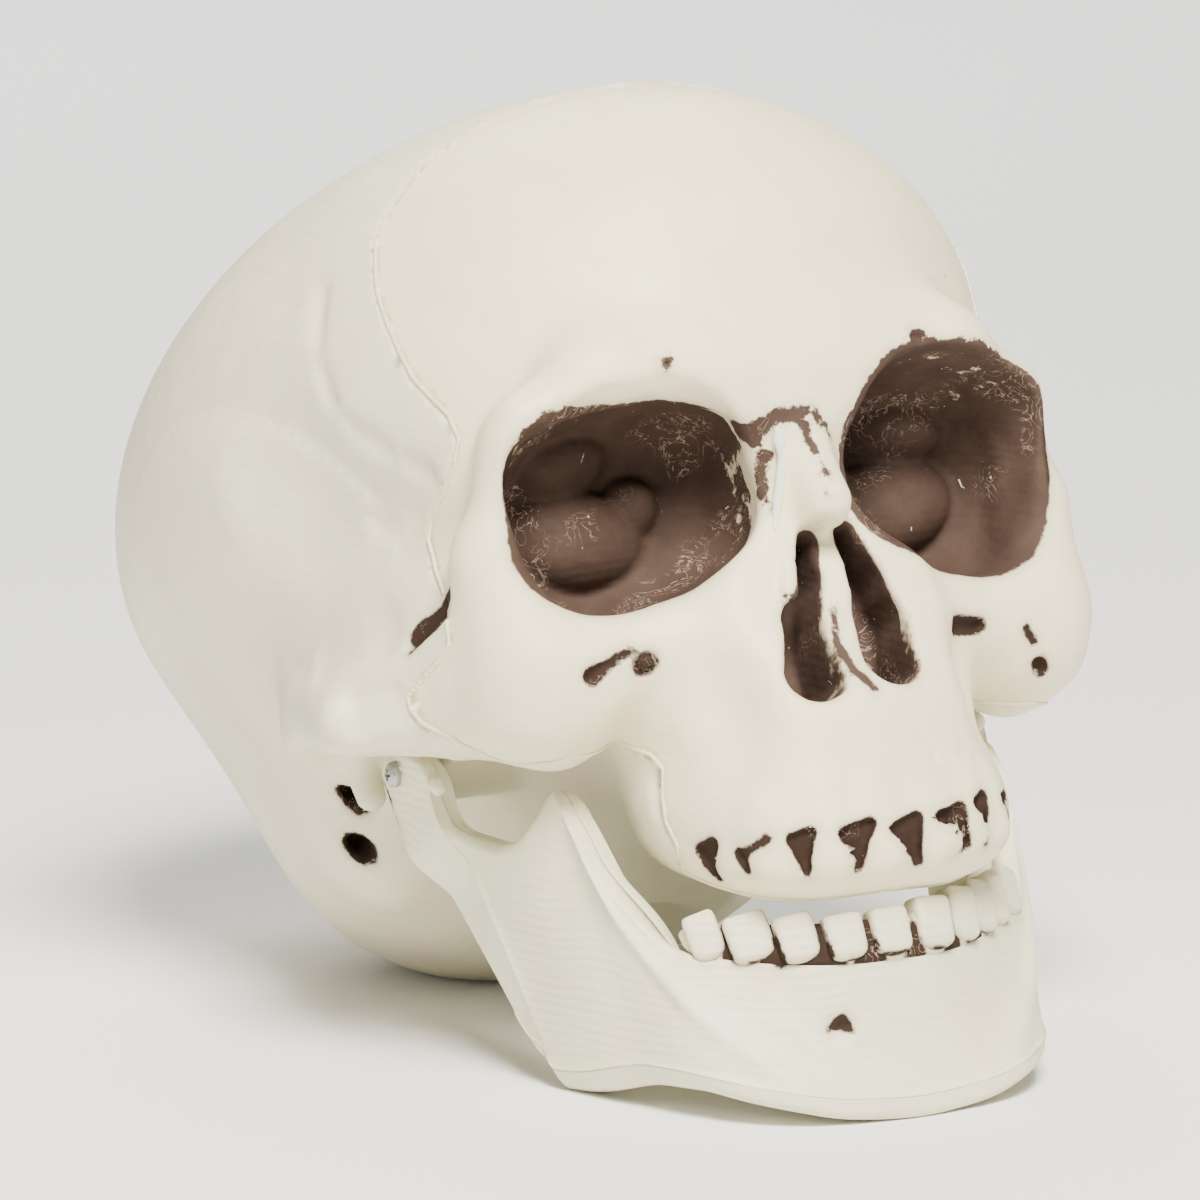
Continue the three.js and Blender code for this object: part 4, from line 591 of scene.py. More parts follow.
def vinyl(name, warm, cool, roughness, flow_lines=0.15):
    """Matt cast vinyl: cream that drifts between a warm and a cool shade, with faint pink, sparse dark specks, fine
    wavy lines where it flowed into the mould, a soft unevenness and a fine grain. Brown wash paint covers it where
    the point number 'stain' is above zero, its edge wandering by 'ragged': dead matt, rubbed through to pinkish
    strokes and white chips. Where 'thick' is one the brown is darker, partly thicker paint and partly painted shade
    in the small pits. Each scale is 1000 over the pattern's size in mm."""
    material, shader = new_material(name, roughness)
    tree = material.node_tree
    at = add_node(tree, "TexCoord").outputs["Object"]
    drift = add_node(tree, "TexNoise", {"Vector": at, "Scale": 1000 / 38.46, "Detail": 3, "Roughness": 0.55})
    tone = add_node(tree, "MapRange", {"Value": drift, "From Min": 0.38, "From Max": 0.62})
    blush = add_node(tree, "TexNoise", {
        "Vector": at, "Scale": 1000 / 18.18, "Detail": 4, "Roughness": 0.6, "Distortion": 0.4,
    })
    pink = add_node(tree, "MapRange", {"Value": blush, "From Min": 0.52, "From Max": 0.72, "To Max": 0.45})
    cell = add_node(tree, "TexVoronoi", {"Vector": at, "Scale": 1000 / 10.526})
    dot = add_node(tree, "MapRange", {
        "Value": cell, "From Min": 0.03, "From Max": 0.05, "To Min": 1, "To Max": 0,
    })
    rare = add_node(tree, "SeparateColor", {"Color": cell.outputs["Color"]})
    some = add_node(tree, "Math", {0: rare, 1: 0.82}, operation="GREATER_THAN")
    speck = add_node(tree, "Math", {0: dot, 1: some}, operation="MULTIPLY")
    faint = add_node(tree, "Math", {0: speck, 1: 0.55}, operation="MULTIPLY")
    # the paint's edge: depth inside the painted area, moved in and out by a noise of 2.6 mm
    stain, wander, thick_and_shade_share = (
        add_node(tree, "Attribute", attribute_name=key).outputs["Fac"] for key in ("stain", "ragged", "thick")
    )
    rough = add_node(tree, "TexNoise", {"Vector": at, "Scale": 1000 / 2.6316, "Detail": 5, "Roughness": 0.65})
    shift = add_node(tree, "Math", {0: rough, 1: 0.5}, operation="SUBTRACT")
    reach = add_node(tree, "Math", {0: wander, 1: 3.4}, operation="MULTIPLY")
    depth = add_node(tree, "Math", {0: shift, 1: reach, 2: stain}, operation="MULTIPLY_ADD")
    painted = add_node(tree, "MapRange", {"Value": depth, "From Min": -0.1, "From Max": 0.3})
    veil = add_node(tree, "MapRange", {"Value": depth, "From Min": -1.6, "From Max": 0.2, "To Max": 0.35})
    cream = linear(warm)
    for share, tint in ((tone, cool), (pink, "#E6CDB8"), (faint, "#8C7D6F"), (veil, "#A89684")):
        cream = add_node(tree, "Mix", {0: share, 6: cream, 7: linear(tint)}, data_type="RGBA").outputs[2]
    # the paint itself: two browns, the darkest one for thick paint and for painted shade in the pits, curled strokes
    # in patches, and chips down to the white
    scuff = add_node(tree, "TexNoise", {"Vector": at, "Scale": 1000 / 9.091, "Detail": 5, "Roughness": 0.65})
    worn = add_node(tree, "MapRange", {"Value": scuff, "From Min": 0.4, "From Max": 0.75})
    curl = add_node(tree, "TexNoise", {
        "Vector": at, "Scale": 1000 / 4.762, "Detail": 2, "Roughness": 0.6, "Distortion": 2.2,
    })
    level = add_node(tree, "Math", {0: curl, 1: 0.5, 2: 0.014}, operation="COMPARE")
    patch = add_node(tree, "TexNoise", {"Vector": at, "Scale": 1000 / 16.13, "Detail": 2})
    where = add_node(tree, "MapRange", {"Value": patch, "From Min": 0.54, "From Max": 0.62, "To Max": 0.6})
    stroke = add_node(tree, "Math", {0: level, 1: where}, operation="MULTIPLY")
    flake = add_node(tree, "TexNoise", {
        "Vector": at, "Scale": 1000 / 3.0303, "Detail": 3, "Roughness": 0.7, "Distortion": 0.8,
    })
    chip = add_node(tree, "MapRange", {"Value": flake, "From Min": 0.72, "From Max": 0.735})
    brown = linear("#463730")
    # the darkest brown #33261E is thick paint and also painted shade in the small pits and the tooth gaps
    for share, tint in ((worn, "#54443A"), (thick_and_shade_share, "#33261E"), (stroke, "#B39C8C"), (chip, "#E4E2DC")):
        brown = add_node(tree, "Mix", {0: share, 6: brown, 7: linear(tint)}, data_type="RGBA").outputs[2]
    colour = add_node(tree, "Mix", {0: painted, 6: cream, 7: brown}, data_type="RGBA").outputs[2]
    tree.links.new(colour, shader.inputs["Base Color"])
    sheen = add_node(tree, "MapRange", {
        "Value": blush, "From Min": 0.3, "From Max": 0.7, "To Min": roughness - 0.09, "To Max": roughness + 0.08,
    })
    matt = add_node(tree, "Math", {0: painted, 1: 0.25, 2: sheen}, operation="MULTIPLY_ADD")
    tree.links.new(matt.outputs[0], shader.inputs["Roughness"])
    gloss = add_node(tree, "MapRange", {"Value": painted, "To Min": 0.42, "To Max": 0.12})
    tree.links.new(gloss.outputs[0], shader.inputs["Specular IOR Level"])
    swell = add_node(tree, "TexNoise", {"Vector": at, "Scale": 1000 / 11.765, "Detail": 2, "Roughness": 0.5})
    grain = add_node(tree, "TexNoise", {"Vector": at, "Scale": 1000 / 1.1111, "Detail": 3, "Roughness": 0.6})
    flow = add_node(tree, "TexWave", {
        "Vector": at, "Scale": 1000 / 5.2632, "Distortion": 7, "Detail": 2, "Detail Scale": 0.3,
        "Detail Roughness": 0.5,
    }, bands_direction="Z").outputs["Fac"]
    skin = add_node(tree, "Bump", {"Height": swell, "Strength": 0.5, "Distance": 0.0012})
    for height, strength, distance in (
        (grain, 0.3, 0.0002), (flow, flow_lines, 0.00012), (painted, 0.3, 0.00015),
    ):
        skin = add_node(tree, "Bump", {"Height": height, "Normal": skin, "Strength": strength, "Distance": distance})
    tree.links.new(skin.outputs["Normal"], shader.inputs["Normal"])
    return material


# Each shell comes from its own batch, so the face looks a shade warmer than the brain case.
face_vinyl = vinyl("matt cream vinyl, face", "#F2E8C3", "#EAE1BD", 0.5)
case_vinyl = vinyl("matt cream vinyl, brain case", "#ECE5C7", "#DFDABD", 0.5)
FACE_GRID = (
    planes((-66, -58, 1.7), (-58, 58, 0.95), (58, 66, 1.7)),
    planes((30, 54, 1.7), (54, 101, 0.95)),
    planes((-60, -54, 1.5), (-54, 44, 0.95), (44, 112, 1.9)),
)
CASE_GRID = (
    planes((-76, -42, 1.2), (-42, 42, 2), (42, 76, 1.2)),
    planes((-98, -20, 2), (-20, 66, 1.3), (66, 88, 2)),
    planes((-66, -34, 1.8), (-34, 14, 1.2), (14, 112, 2)),
)
for name, side, material, slot_name, grid in (
    ("face_shell", 1, face_vinyl, "cream_plastic", FACE_GRID),
    ("cranium_shell", -1, case_vinyl, "case_plastic", CASE_GRID),
):
    places, faces = shell(side, grid)
    paint = {"stain": stain_depth(places), "ragged": ragged_edge(places), "thick": thick_paint_and_pit_shade(places)}
    piece = new_piece(name + "_cast", places, [faces], material, paint)
    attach(piece, "head")
    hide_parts(name)


# A fine line of bond stands all along the parting of the two head shells, where the moulding's edges
# were welded together. It is the same vinyl, a rounded bead that stands about a third of a millimetre.
BEAD_RADIUS = 0.42
BEAD_LAP = 0.12  # how far each straight length runs into the next
BEAD_TURNS = np.linspace(0.02, math.pi, 620)
BEAD_REACHES = np.arange(36, 112, 0.8)


def sheet_place(turn, reach):
    """The place on the parting sheet at a turn round the face's axis and a reach from the head's middle."""
    swing = np.interp(turn, PARTING[:, 0], PARTING[:, 1])
    across, ahead = np.sin(swing), np.cos(swing)
    above = -across * np.cos(turn)
    fore = ahead * math.cos(FACE_AXIS_DROP) + above * math.sin(FACE_AXIS_DROP)
    up = above * math.cos(FACE_AXIS_DROP) - ahead * math.sin(FACE_AXIS_DROP)
    return HEAD_MIDDLE + reach[..., None] * np.stack([across * np.sin(turn), fore, up], -1)


def bond_bead():
    """Where the sheet meets the skin: on a grid of turn and reach, each cell with two crossings gives one straight
    length, and a six-sided bar is laid along it, long enough to run into the next."""
    turn, reach = np.meshgrid(BEAD_TURNS, BEAD_REACHES, indexing="ij")
    places = sheet_place(turn, reach)
    value = head_form(places.reshape(-1, 3).astype(np.float32)).reshape(turn.shape)
    corners = [(slice(a, a - 1 or None), slice(b, b - 1 or None)) for a, b in ((0, 0), (1, 0), (1, 1), (0, 1))]
    ends, hits = [], []
    for a, b in zip(corners, corners[1:] + corners[:1]):
        first, last = value[a], value[b]
        crossed = (first < 0) != (last < 0)
        share = np.where(crossed, first / np.where(crossed, first - last, 1), 0)[..., None]
        ends.append(places[a] + share * (places[b] - places[a]))
        hits.append(crossed)
    hits = np.stack(hits).reshape(4, -1)
    ends = np.stack(ends).reshape(4, -1, 3)
    good = np.flatnonzero(hits.sum(0) == 2)
    order = np.argsort(~hits[:, good], axis=0, kind="stable")[:2]
    start, end = ends[order[0], good], ends[order[1], good]
    shown = (stain_depth(start.astype(np.float32)) < -1) & (np.linalg.norm(end - start, axis=1) > 0.05)
    start, end = start[shown], end[shown]
    along = (end - start) / np.linalg.norm(end - start, axis=1)[:, None]
    side = np.cross(along, start - HEAD_MIDDLE)
    side /= np.linalg.norm(side, axis=1)[:, None]
    other = np.cross(along, side)
    angle = np.arange(6) * math.pi / 3
    ring = BEAD_RADIUS * (np.cos(angle)[:, None, None] * side + np.sin(angle)[:, None, None] * other)
    bars = np.stack([start - BEAD_LAP * along + ring, end + BEAD_LAP * along + ring])
    half = np.moveaxis(bars, 2, 0).reshape(-1, 12, 3)
    whole = np.concatenate([half, half[:, [5, 4, 3, 2, 1, 0, 11, 10, 9, 8, 7, 6]] * np.array([-1, 1, 1])])
    base = 12 * np.arange(len(whole))[:, None, None]
    step = np.arange(6)
    sides = base + np.stack([step, (step + 1) % 6, (step + 1) % 6 + 6, step + 6], -1)[None]
    lids = base[:, 0] + np.concatenate([step[::-1], step + 6])
    return whole.reshape(-1, 3), [sides.reshape(-1, 4), lids.reshape(-1, 6)]


places, faces = bond_bead()
bare = {"stain": np.full(len(places), -9.0), "ragged": np.zeros(len(places))}
piece = new_piece("bond_bead", places, faces, face_vinyl, bare)
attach(piece, "head")


# The lower jaw is two half shells of the same vinyl, bonded along a raised line that runs round under
# its rim and up the back edge. The outer half carries the ears and the ten crowns cast in one with it.
# Each row of the table: a place on the upper edge, the place on the rim below it, thickness at each.
JAW_COLUMNS = np.array([
    [53.5, 14.3, -6, 43.5, 25.2, -54.9, 4.4, 6.4],
    [53.5, 18.4, -3.6, 43, 26.1, -58.7, 4.4, 6.4],
    [53.5, 25.8, -4.6, 42.5, 26.9, -61.4, 4.4, 6.4],
    [53, 31.5, -9.8, 42, 28.7, -63.4, 4.4, 6.4],
    [52, 31.5, -15.4, 41.5, 29.6, -67.2, 4.4, 6.4],
    [50, 31.8, -21.2, 41, 32.2, -68.6, 5.6, 6.4],
    [48.5, 36.3, -25.7, 40, 37, -70.2, 5.6, 6.4],
    [47, 42.3, -27.1, 39, 42, -71.4, 5.6, 6.4],
    [45, 47.5, -24.7, 38, 46, -72.3, 5.6, 6.4],
    [43, 51.7, -21.8, 36.5, 51, -73.5, 5.6, 11],
    [42, 53.9, -26.3, 35, 55.7, -75.5, 5.6, 11],
    [40, 56.3, -37.1, 33, 60.2, -77.7, 6.4, 11],
    [36, 60.6, -48.3, 30.5, 64.4, -80.4, 10, 11],
    [32, 63.5, -53.7, 27, 68.1, -83.1, 10, 11],
    [26, 67.7, -56.5, 22, 71.2, -85.8, 10, 11],
    [19, 72.5, -59.1, 15.5, 72.8, -88.1, 10, 11],
    [10, 76.5, -61.2, 8, 73.6, -89.4, 10, 11],
    [0, 77.9, -61.7, 0, 73.9, -90, 10, 11],
])
CHIN = len(JAW_COLUMNS) - 1
HINGE = np.array([49.2, 21.52, -7.79])
EAR_OUTSIDE = 54.05
EAR_REACH, EAR_FADE = 22.7, 9.5  # the face stands upright within this reach of the hinge, after this much fading
WAIST, CHIN_SET_BACK = 1.6, 0.75
RIM_BAND, RIM_BEAD = 4.2, 0.35
FLOOR_GAP = 0.05


def through(columns, at):
    """A smooth run (Catmull-Rom) through the table's rows, which are mirrored past the chin."""
    flip = np.where(np.isin(np.arange(columns.shape[1]), (0, 3)), -1, 1)
    rows = np.concatenate([2 * columns[:1] - columns[1:2], columns, columns[-2:-4:-1] * flip])
    i = np.clip(np.floor(at).astype(int), 0, CHIN)
    u = (at - i)[:, None]
    a, b, c, d = rows[i], rows[i + 1], rows[i + 2], rows[i + 3]
    return (2 * b + (c - a) * u + (2 * a - 5 * b + 4 * c - d) * u * u + (3 * b - a + d - 3 * c) * u ** 3) / 2


def unit(vectors):
    """Vectors over their own lengths."""
    return vectors / np.linalg.norm(vectors, axis=-1, keepdims=True)


def smooth(share):
    """An even rise from 0 to 1 with soft ends."""
    share = np.clip(share, 0, 1)
    return share * share * (3 - 2 * share)


def jaw_frame(at):
    """For each column: rim and edge places, the directions up and out, the height, and the two thicknesses."""
    row = through(JAW_COLUMNS, at)
    edge, rim = row[:, :3], row[:, 3:6]
    ahead, behind = through(JAW_COLUMNS, at + 0.25), through(JAW_COLUMNS, np.maximum(at - 0.25, 0))
    forward = (ahead[:, :3] + ahead[:, 3:6] - behind[:, :3] - behind[:, 3:6]) / 2
    up = unit(edge - rim)
    out = unit(np.cross(up, forward))
    out *= np.where(out @ np.array([1, 0.5, 0]) < 0, -1, 1)[:, None]
    return rim, edge, up, out, np.linalg.norm(edge - rim, axis=1), row[:, 6], row[:, 7]


def jaw_places(at, height, depth, relief=0.0):
    """Places in the jaw: on the outer face at each height up from the rim, then in by the depth. Round the hinge
    the face is drawn upright to the ear's outside, and at the chin it is drawn in to a shallow waist."""
    rim, _, up, out, full, _, _ = jaw_frame(at)
    share = np.clip(height / full[:, None], 0, 1)
    front = np.clip((at - CHIN * 0.7) / (CHIN * 0.3), 0, 1)
    waist = WAIST * front[:, None] * np.sin(math.pi * share) + CHIN_SET_BACK * smooth(front)[:, None]
    level = np.array([0, math.sin(STANDING_TILT), math.cos(STANDING_TILT)])
    climb = ((out @ level) / (up @ level))[:, None] * (1 - smooth(height / 12))
    height = height + depth * climb
    place = rim[:, None] + up[:, None] * height[..., None] - out[:, None] * waist[..., None]
    upright = smooth((EAR_REACH - np.hypot(place[..., 1] - HINGE[1], place[..., 2] - HINGE[2])) / EAR_FADE)
    place[..., 0] += (EAR_OUTSIDE - place[..., 0]) * upright
    facing = unit(out[:, None] * (1 - upright)[..., None] + np.array([1, 0, 0]) * upright[..., None])
    place = place - facing * (depth - relief)[..., None]
    sunk = np.maximum(FLOOR_GAP - EARS[2] - place @ level, 0)
    return place + sunk[..., None] * level


def halves_round(at):
    """How full each column is: a quarter round over half its thickness, in from the ear's back edge."""
    _, edge, _, _, _, thick, _ = jaw_frame(at)
    away = np.linalg.norm(edge - through(JAW_COLUMNS, np.zeros(1))[:, :3], axis=1)
    return np.sqrt(np.maximum(1 - (1 - np.minimum(away / (thick / 2), 1)) ** 2, 0.0004))


def jaw_relief(at, height, full):
    """Relief of the outer face: a ridge 1.1 mm high that slants down from the front of the branch, a bell across."""
    column = at[:, None]
    line = full[:, None] * (1.02 - 0.16 * np.clip(column - 9.5, 0, 5))
    ridge = 1.1 * np.exp(-(((height - line) / 5.0) ** 2))
    return ridge * smooth((column - 9.2) / 1.6) * (1 - smooth((column - 13.2) / 2.4))


def jaw_half(outer):
    """One half shell from ear to chin: the cross-section runs over the face and the crest to the parting sheet at
    mid thickness and back down it; the outer half starts above the rim band, the inner half goes under the rim."""
    at = np.concatenate([np.linspace(0, 1, 24) ** 1.6, np.linspace(1, CHIN, 232)[1:]])
    _, _, _, _, full, top, low = jaw_frame(at)
    fullness = halves_round(at)[:, None]
    full_c, top_c, low_c = full[:, None], top[:, None], low[:, None]

    def thickness(height):
        return low_c + (top_c - low_c) * np.clip(height / full_c, 0, 1)

    turn = np.linspace(0, math.pi / 2, 7)[None]
    crest = np.minimum(2.2, top_c * 0.42)
    foot = np.minimum(3.2, low_c * 0.45)
    rows = []
    if outer:
        rise = RIM_BAND + (full_c - crest - RIM_BAND) * np.linspace(0, 1, 64)[None]
        rows.append((rise, 0 * rise))
        rows.append((full_c - crest + crest * np.sin(turn[:, 1:]), crest - crest * np.cos(turn[:, 1:])))
    else:
        fall = RIM_BAND - (RIM_BAND - foot) * np.linspace(0, 1, 6)[None]
        rows.append((fall, 0 * fall))
        rows.append((foot - foot * np.sin(turn[:, 1:]), foot - foot * np.cos(turn[:, 1:])))
        rows.append((foot - foot * np.cos(turn), low_c - foot + foot * np.sin(turn)))
        rise = foot + (full_c - crest - foot) * np.linspace(0, 1, 48)[None, 1:]
        rows.append((rise, thickness(rise)))
        rows.append((full_c - crest + crest * np.sin(turn[:, 1:]), top_c - crest + crest * np.cos(turn[:, 1:])))
    side = 1 if outer else -1
    drop = full_c - (full_c - RIM_BAND) * np.linspace(0, 1, 20)[None]
    sheet = thickness(drop) / 2 * smooth((drop - RIM_BAND) / (1.6 * RIM_BAND)) - side * SEAM_GAP / 2
    rows.append((drop, sheet))
    height = np.concatenate([h + 0 * full_c for h, _ in rows], 1)
    depth = np.concatenate([d + 0 * full_c for _, d in rows], 1)
    middle = thickness(height) / 2
    depth = middle + (depth - middle) * fullness
    bead = RIM_BEAD * np.exp(-(((height - RIM_BAND) / 0.8) ** 2)) * (depth < middle * 0.4)
    relief = (bead + jaw_relief(at, height, full) * (depth < 0.5)) * fullness
    return jaw_places(at, height, depth, relief)


def closed_run(rings):
    """Points and faces of a closed body whose outline runs from ring to ring, with a fan over each end."""
    count, around = rings.shape[:2]
    at = np.arange(count * around).reshape(count, around)
    here, ahead = at[:-1], at[1:]
    quads = np.stack([here, np.roll(here, -1, 1), np.roll(ahead, -1, 1), ahead], -1).reshape(-1, 4)
    first = np.stack([np.roll(at[0], -1), at[0], np.full(around, count * around)], -1)
    last = np.stack([at[-1], np.roll(at[-1], -1), np.full(around, count * around + 1)], -1)
    points = np.concatenate([rings.reshape(-1, 3), rings[:1].mean(1), rings[-1:].mean(1)])
    faces = [quads, np.concatenate([first, last])]
    a, b, c, d = (points[quads[:, i]] for i in range(4))
    volume = (np.cross(c - a, d - b) * a).sum()
    return points, [part[:, ::-1] for part in faces] if volume > 0 else faces


def joined(bodies):
    """Several closed bodies as one list of points and one of faces."""
    start = np.cumsum([0] + [len(points) for points, _ in bodies])
    points = np.concatenate([points for points, _ in bodies])
    return points, [np.concatenate([faces[k] + start[i] for i, (_, faces) in enumerate(bodies)]) for k in (0, 1)]


def whole_jaw(outer):
    """A half shell from the right ear round the chin to the left ear."""
    left = jaw_half(outer)
    right = left[:-1] * np.array([-1, 1, 1])
    return closed_run(np.concatenate([right, left[::-1]]))


def crest_walk(distance):
    """The table place at a distance from the chin, measured along the crest."""
    at = np.linspace(CHIN, 6, 400)
    edge = through(JAW_COLUMNS, at)[:, :3]
    walked = np.concatenate([[0], np.cumsum(np.linalg.norm(np.diff(edge, axis=0), axis=1))])
    return np.interp(abs(distance), walked, at)


def crown_seat(distance):
    """On the crest at each distance from the chin: the place, and the directions up, outward and along the row."""
    distance = np.atleast_1d(np.asarray(distance, float))
    _, edge, up, out, _, _, _ = jaw_frame(crest_walk(distance))
    lean = unit(up + np.array([0, 0, 0.5]))
    face = unit(out - lean * (out * lean).sum(-1, keepdims=True))
    flip = np.where(distance < 0, -1, 1)[:, None] * np.array([1, 0, 0]) + np.array([0, 1, 1])
    return [vector * flip for vector in (edge, lean, face, np.cross(face, lean))]


# A block's outline from foot to top: level over the crest, then how much of the full plan is left there.
CROWN_LEVELS = np.array([
    -1, -0.95, -0.8, -0.5, -0.1, 0.4, 1, 1.7, 2.6, 3.6, 4.8, 6, 6.9, 7.5, 7.9, 8.2, 8.42, 8.55, 8.6, 8.58, 8.66, 8.56,
    8.64, 8.5, 8.5,
])
CROWN_PLAN = np.array([1] * 13 + [0.985, 0.96, 0.925, 0.88, 0.83, 0.77, 0.7, 0.6, 0.52, 0.4, 0.3, 0.12])


def crown(distance, wide, high, deep=5.4, proud=1.0):
    """A front tooth block: a rounded oblong in plan, its foot rounded off like a U and sunk into the gum, its
    top a soft shoulder round a slightly dished flat, with ripples where the moulding filled in layers."""
    edge, lean, face, along = (part[0] for part in crown_seat(distance))
    turn = np.linspace(0, 2 * math.pi, 73)[:-1]
    c, s = np.cos(turn), np.sin(turn)
    u = np.sign(c) * np.abs(c) ** 0.5 * (1 - 0.1 * (1 - s))
    v = np.sign(s) * np.abs(s) ** 0.5
    level = np.where(CROWN_LEVELS > 1, 1 + (CROWN_LEVELS - 1) * (high - 1) / 7.6, CROWN_LEVELS)
    foot = np.sqrt(np.maximum(1 - (1 - np.clip((level + 1.02) / 2.0, 0, 1)) ** 2, 0))
    sink = 1.5 * (1 - foot)
    across = (u * wide / 2) * (foot * CROWN_PLAN)[:, None]
    out = proud - deep / 2 - sink[:, None] + (v * deep / 2) * CROWN_PLAN[:, None]
    rings = edge + level[:, None, None] * lean + across[..., None] * along + out[..., None] * face
    return closed_run(rings), level[:, None] + 0 * across, across, wide / 2 - np.abs(across)


# Place along the row from the chin, width and height of each block, then how strongly paint lies under it.
CROWNS = [
    (-31.9, 6.2, 7.1, 0.3), (-24.4, 8.2, 7.3, 0.6), (-16.7, 7.5, 7.2, 0.2), (-8.8, 7.5, 6.9, 0.7),
    (-0.8, 7.6, 7.1, 1.3), (8, 7.9, 8, 0.9), (15.8, 6.9, 8.3, 0.5), (22.6, 6.6, 8.1, 0.6),
    (29.4, 6.5, 7.7, 0.3), (36, 6.3, 7.2, 0.2),
]
# The gaps between the blocks and past the end ones: place along the row, and how strongly each is painted.
seats_of_crowns = np.array([block[0] for block in CROWNS])
GAPS = np.concatenate([[-36.9], (seats_of_crowns[1:] + seats_of_crowns[:-1]) / 2, [39.6]])
GAP_PAINT = np.array([0.2, 1.3, 2.4, 1.8, 1.5, 1.0, 1.3, 1.2, 0.9, 1.1, 0.3])


def tooth_band():
    """The wall that the blocks stand against: a rounded oblong section carried along the crest, and how deep each
    point lies in the paint, which is strongest in the painted gaps and thins upward."""
    distance = np.linspace(-36.6, 39.4, 160)
    edge, lean, face, _ = crown_seat(distance)
    turn = np.linspace(0, 2 * math.pi, 41)[:-1]
    c, s = np.cos(turn), np.sin(turn)
    end = np.sqrt(np.clip(1 - (np.abs(distance - 1.4) / 38.2) ** 12, 0.02, 1))[:, None]
    level = 2.1 + 3.7 * np.sign(c) * np.abs(c) ** 0.4 * end
    out = -2.5 + 2.1 * np.sign(s) * np.abs(s) ** 0.4 * end
    rings = edge[:, None] + level[..., None] * lean[:, None] + out[..., None] * face[:, None]
    strength = np.interp(distance, GAPS, GAP_PAINT)[:, None]
    nearest = np.abs(distance[:, None] - GAPS).min(1)[:, None]
    stain = 1.1 * strength + 0.1 - 0.17 * level - 0.6 * nearest - 2 * (out < -3)
    return closed_run(rings), np.concatenate([stain.ravel(), [-9, -9]])


band, band_stain = tooth_band()
bodies, stains = [band], [band_stain]
gum_lines = []
for k, (distance, wide, high, under) in enumerate(CROWNS):
    body, level, across, inset = crown(distance, wide, high)
    bodies.append(body)
    gap = np.where(across * (1 if distance > 0 else -1) > 0, GAP_PAINT[k + 1], GAP_PAINT[k])
    stain = np.maximum(np.minimum(gap, 1.7) - 0.5 - 1.1 * inset - 0.14 * level, under - 0.3 - 1.2 * (level + 1))
    stain = np.maximum(stain, -1.15)
    stains.append(np.concatenate([stain.ravel(), [stain[0].mean(), -9]]))
    if under > 0:
        edge, lean, face, along = (part[0] for part in crown_seat(distance))
        low = edge - lean * 1.2 + face * 0.2
        gum_lines.append((low - along * wide * 0.22, low + along * wide * 0.22, 0.2 + 0.5 * under, 0.2 + 0.5 * under))
edge, lean, face, _ = crown_seat(GAPS)
for k, strength in enumerate(GAP_PAINT):
    low, high = edge[k] - lean[k] * 1.1 + face[k] * 0.2, edge[k] + lean[k] * 2 - face[k] * 0.8
    gum_lines.append((low, high, 0.2 + 0.5 * strength, 0.5 + 0.8 * strength))
JAW_BRUSHED = gum_lines + [
    ((-53, 15.2, -8.5), (-53, 17, -16), 1.9, 1.5),
    ((-53, 17, -16), (-52.4, 18.4, -21), 1.2, 0.5),
    ((-32.4, 59.6, -53.5), (-29.8, 62.5, -55), 0.7, 0.9),
    ((-13.4, 71, -72.4), (-10.4, 71.6, -70.8), 0.8, 1.6),
    ((-10.4, 71.6, -70.8), (-8.6, 71.8, -74.4), 1.6, 0.9),
    ((-6.3, 68.7, -82.2), (-6.2, 68.7, -82.4), 0.8, 0.8),
    ((-5, 78, -64.8), (-4.8, 78, -65), 0.5, 0.5),
    ((30.2, 59, -60.9), (30.2, 57.7, -63.5), 0.6, 0.5),
]
# Dents in the outer face: place, radius, depth.
JAW_DENTS = [
    ((-11.8, 71.3, -71.8), 2.4, 1.3), ((-9.8, 71.6, -72.2), 2, 1.2), ((-6.3, 68.7, -82.2), 1, 0.6),
    ((-5, 78, -64.8), 1.6, 0.4), ((-5.5, 76.5, -67.4), 1.6, 0.4), ((30.2, 58.4, -62.2), 1.2, 0.6),
    ((-31, 61, -54.3), 1.6, 0.6),
]


def dented(points):
    """Points pushed in toward the middle of the jaw by each dent's depth, fading as a bell over its radius."""
    inward = unit((np.array([0, 40, 0]) - points) * np.array([1, 1, 0]))
    for middle, radius, deep in JAW_DENTS:
        reach = np.linalg.norm(points - np.array(middle), axis=1) / radius
        points = points + (deep * np.exp(-reach ** 2))[:, None] * inward
    return points


def pebble(middle, radii, rings=14, around=24):
    """An egg: rings of points from pole to pole."""
    rise = np.linspace(0.12, math.pi - 0.12, rings)[:, None]
    turn = np.linspace(0, 2 * math.pi, around + 1)[:-1]
    shape = np.stack([np.sin(rise) * np.cos(turn), np.sin(rise) * np.sin(turn), np.cos(rise) + 0 * turn], -1)
    return closed_run(np.array(middle) + shape * np.array(radii))


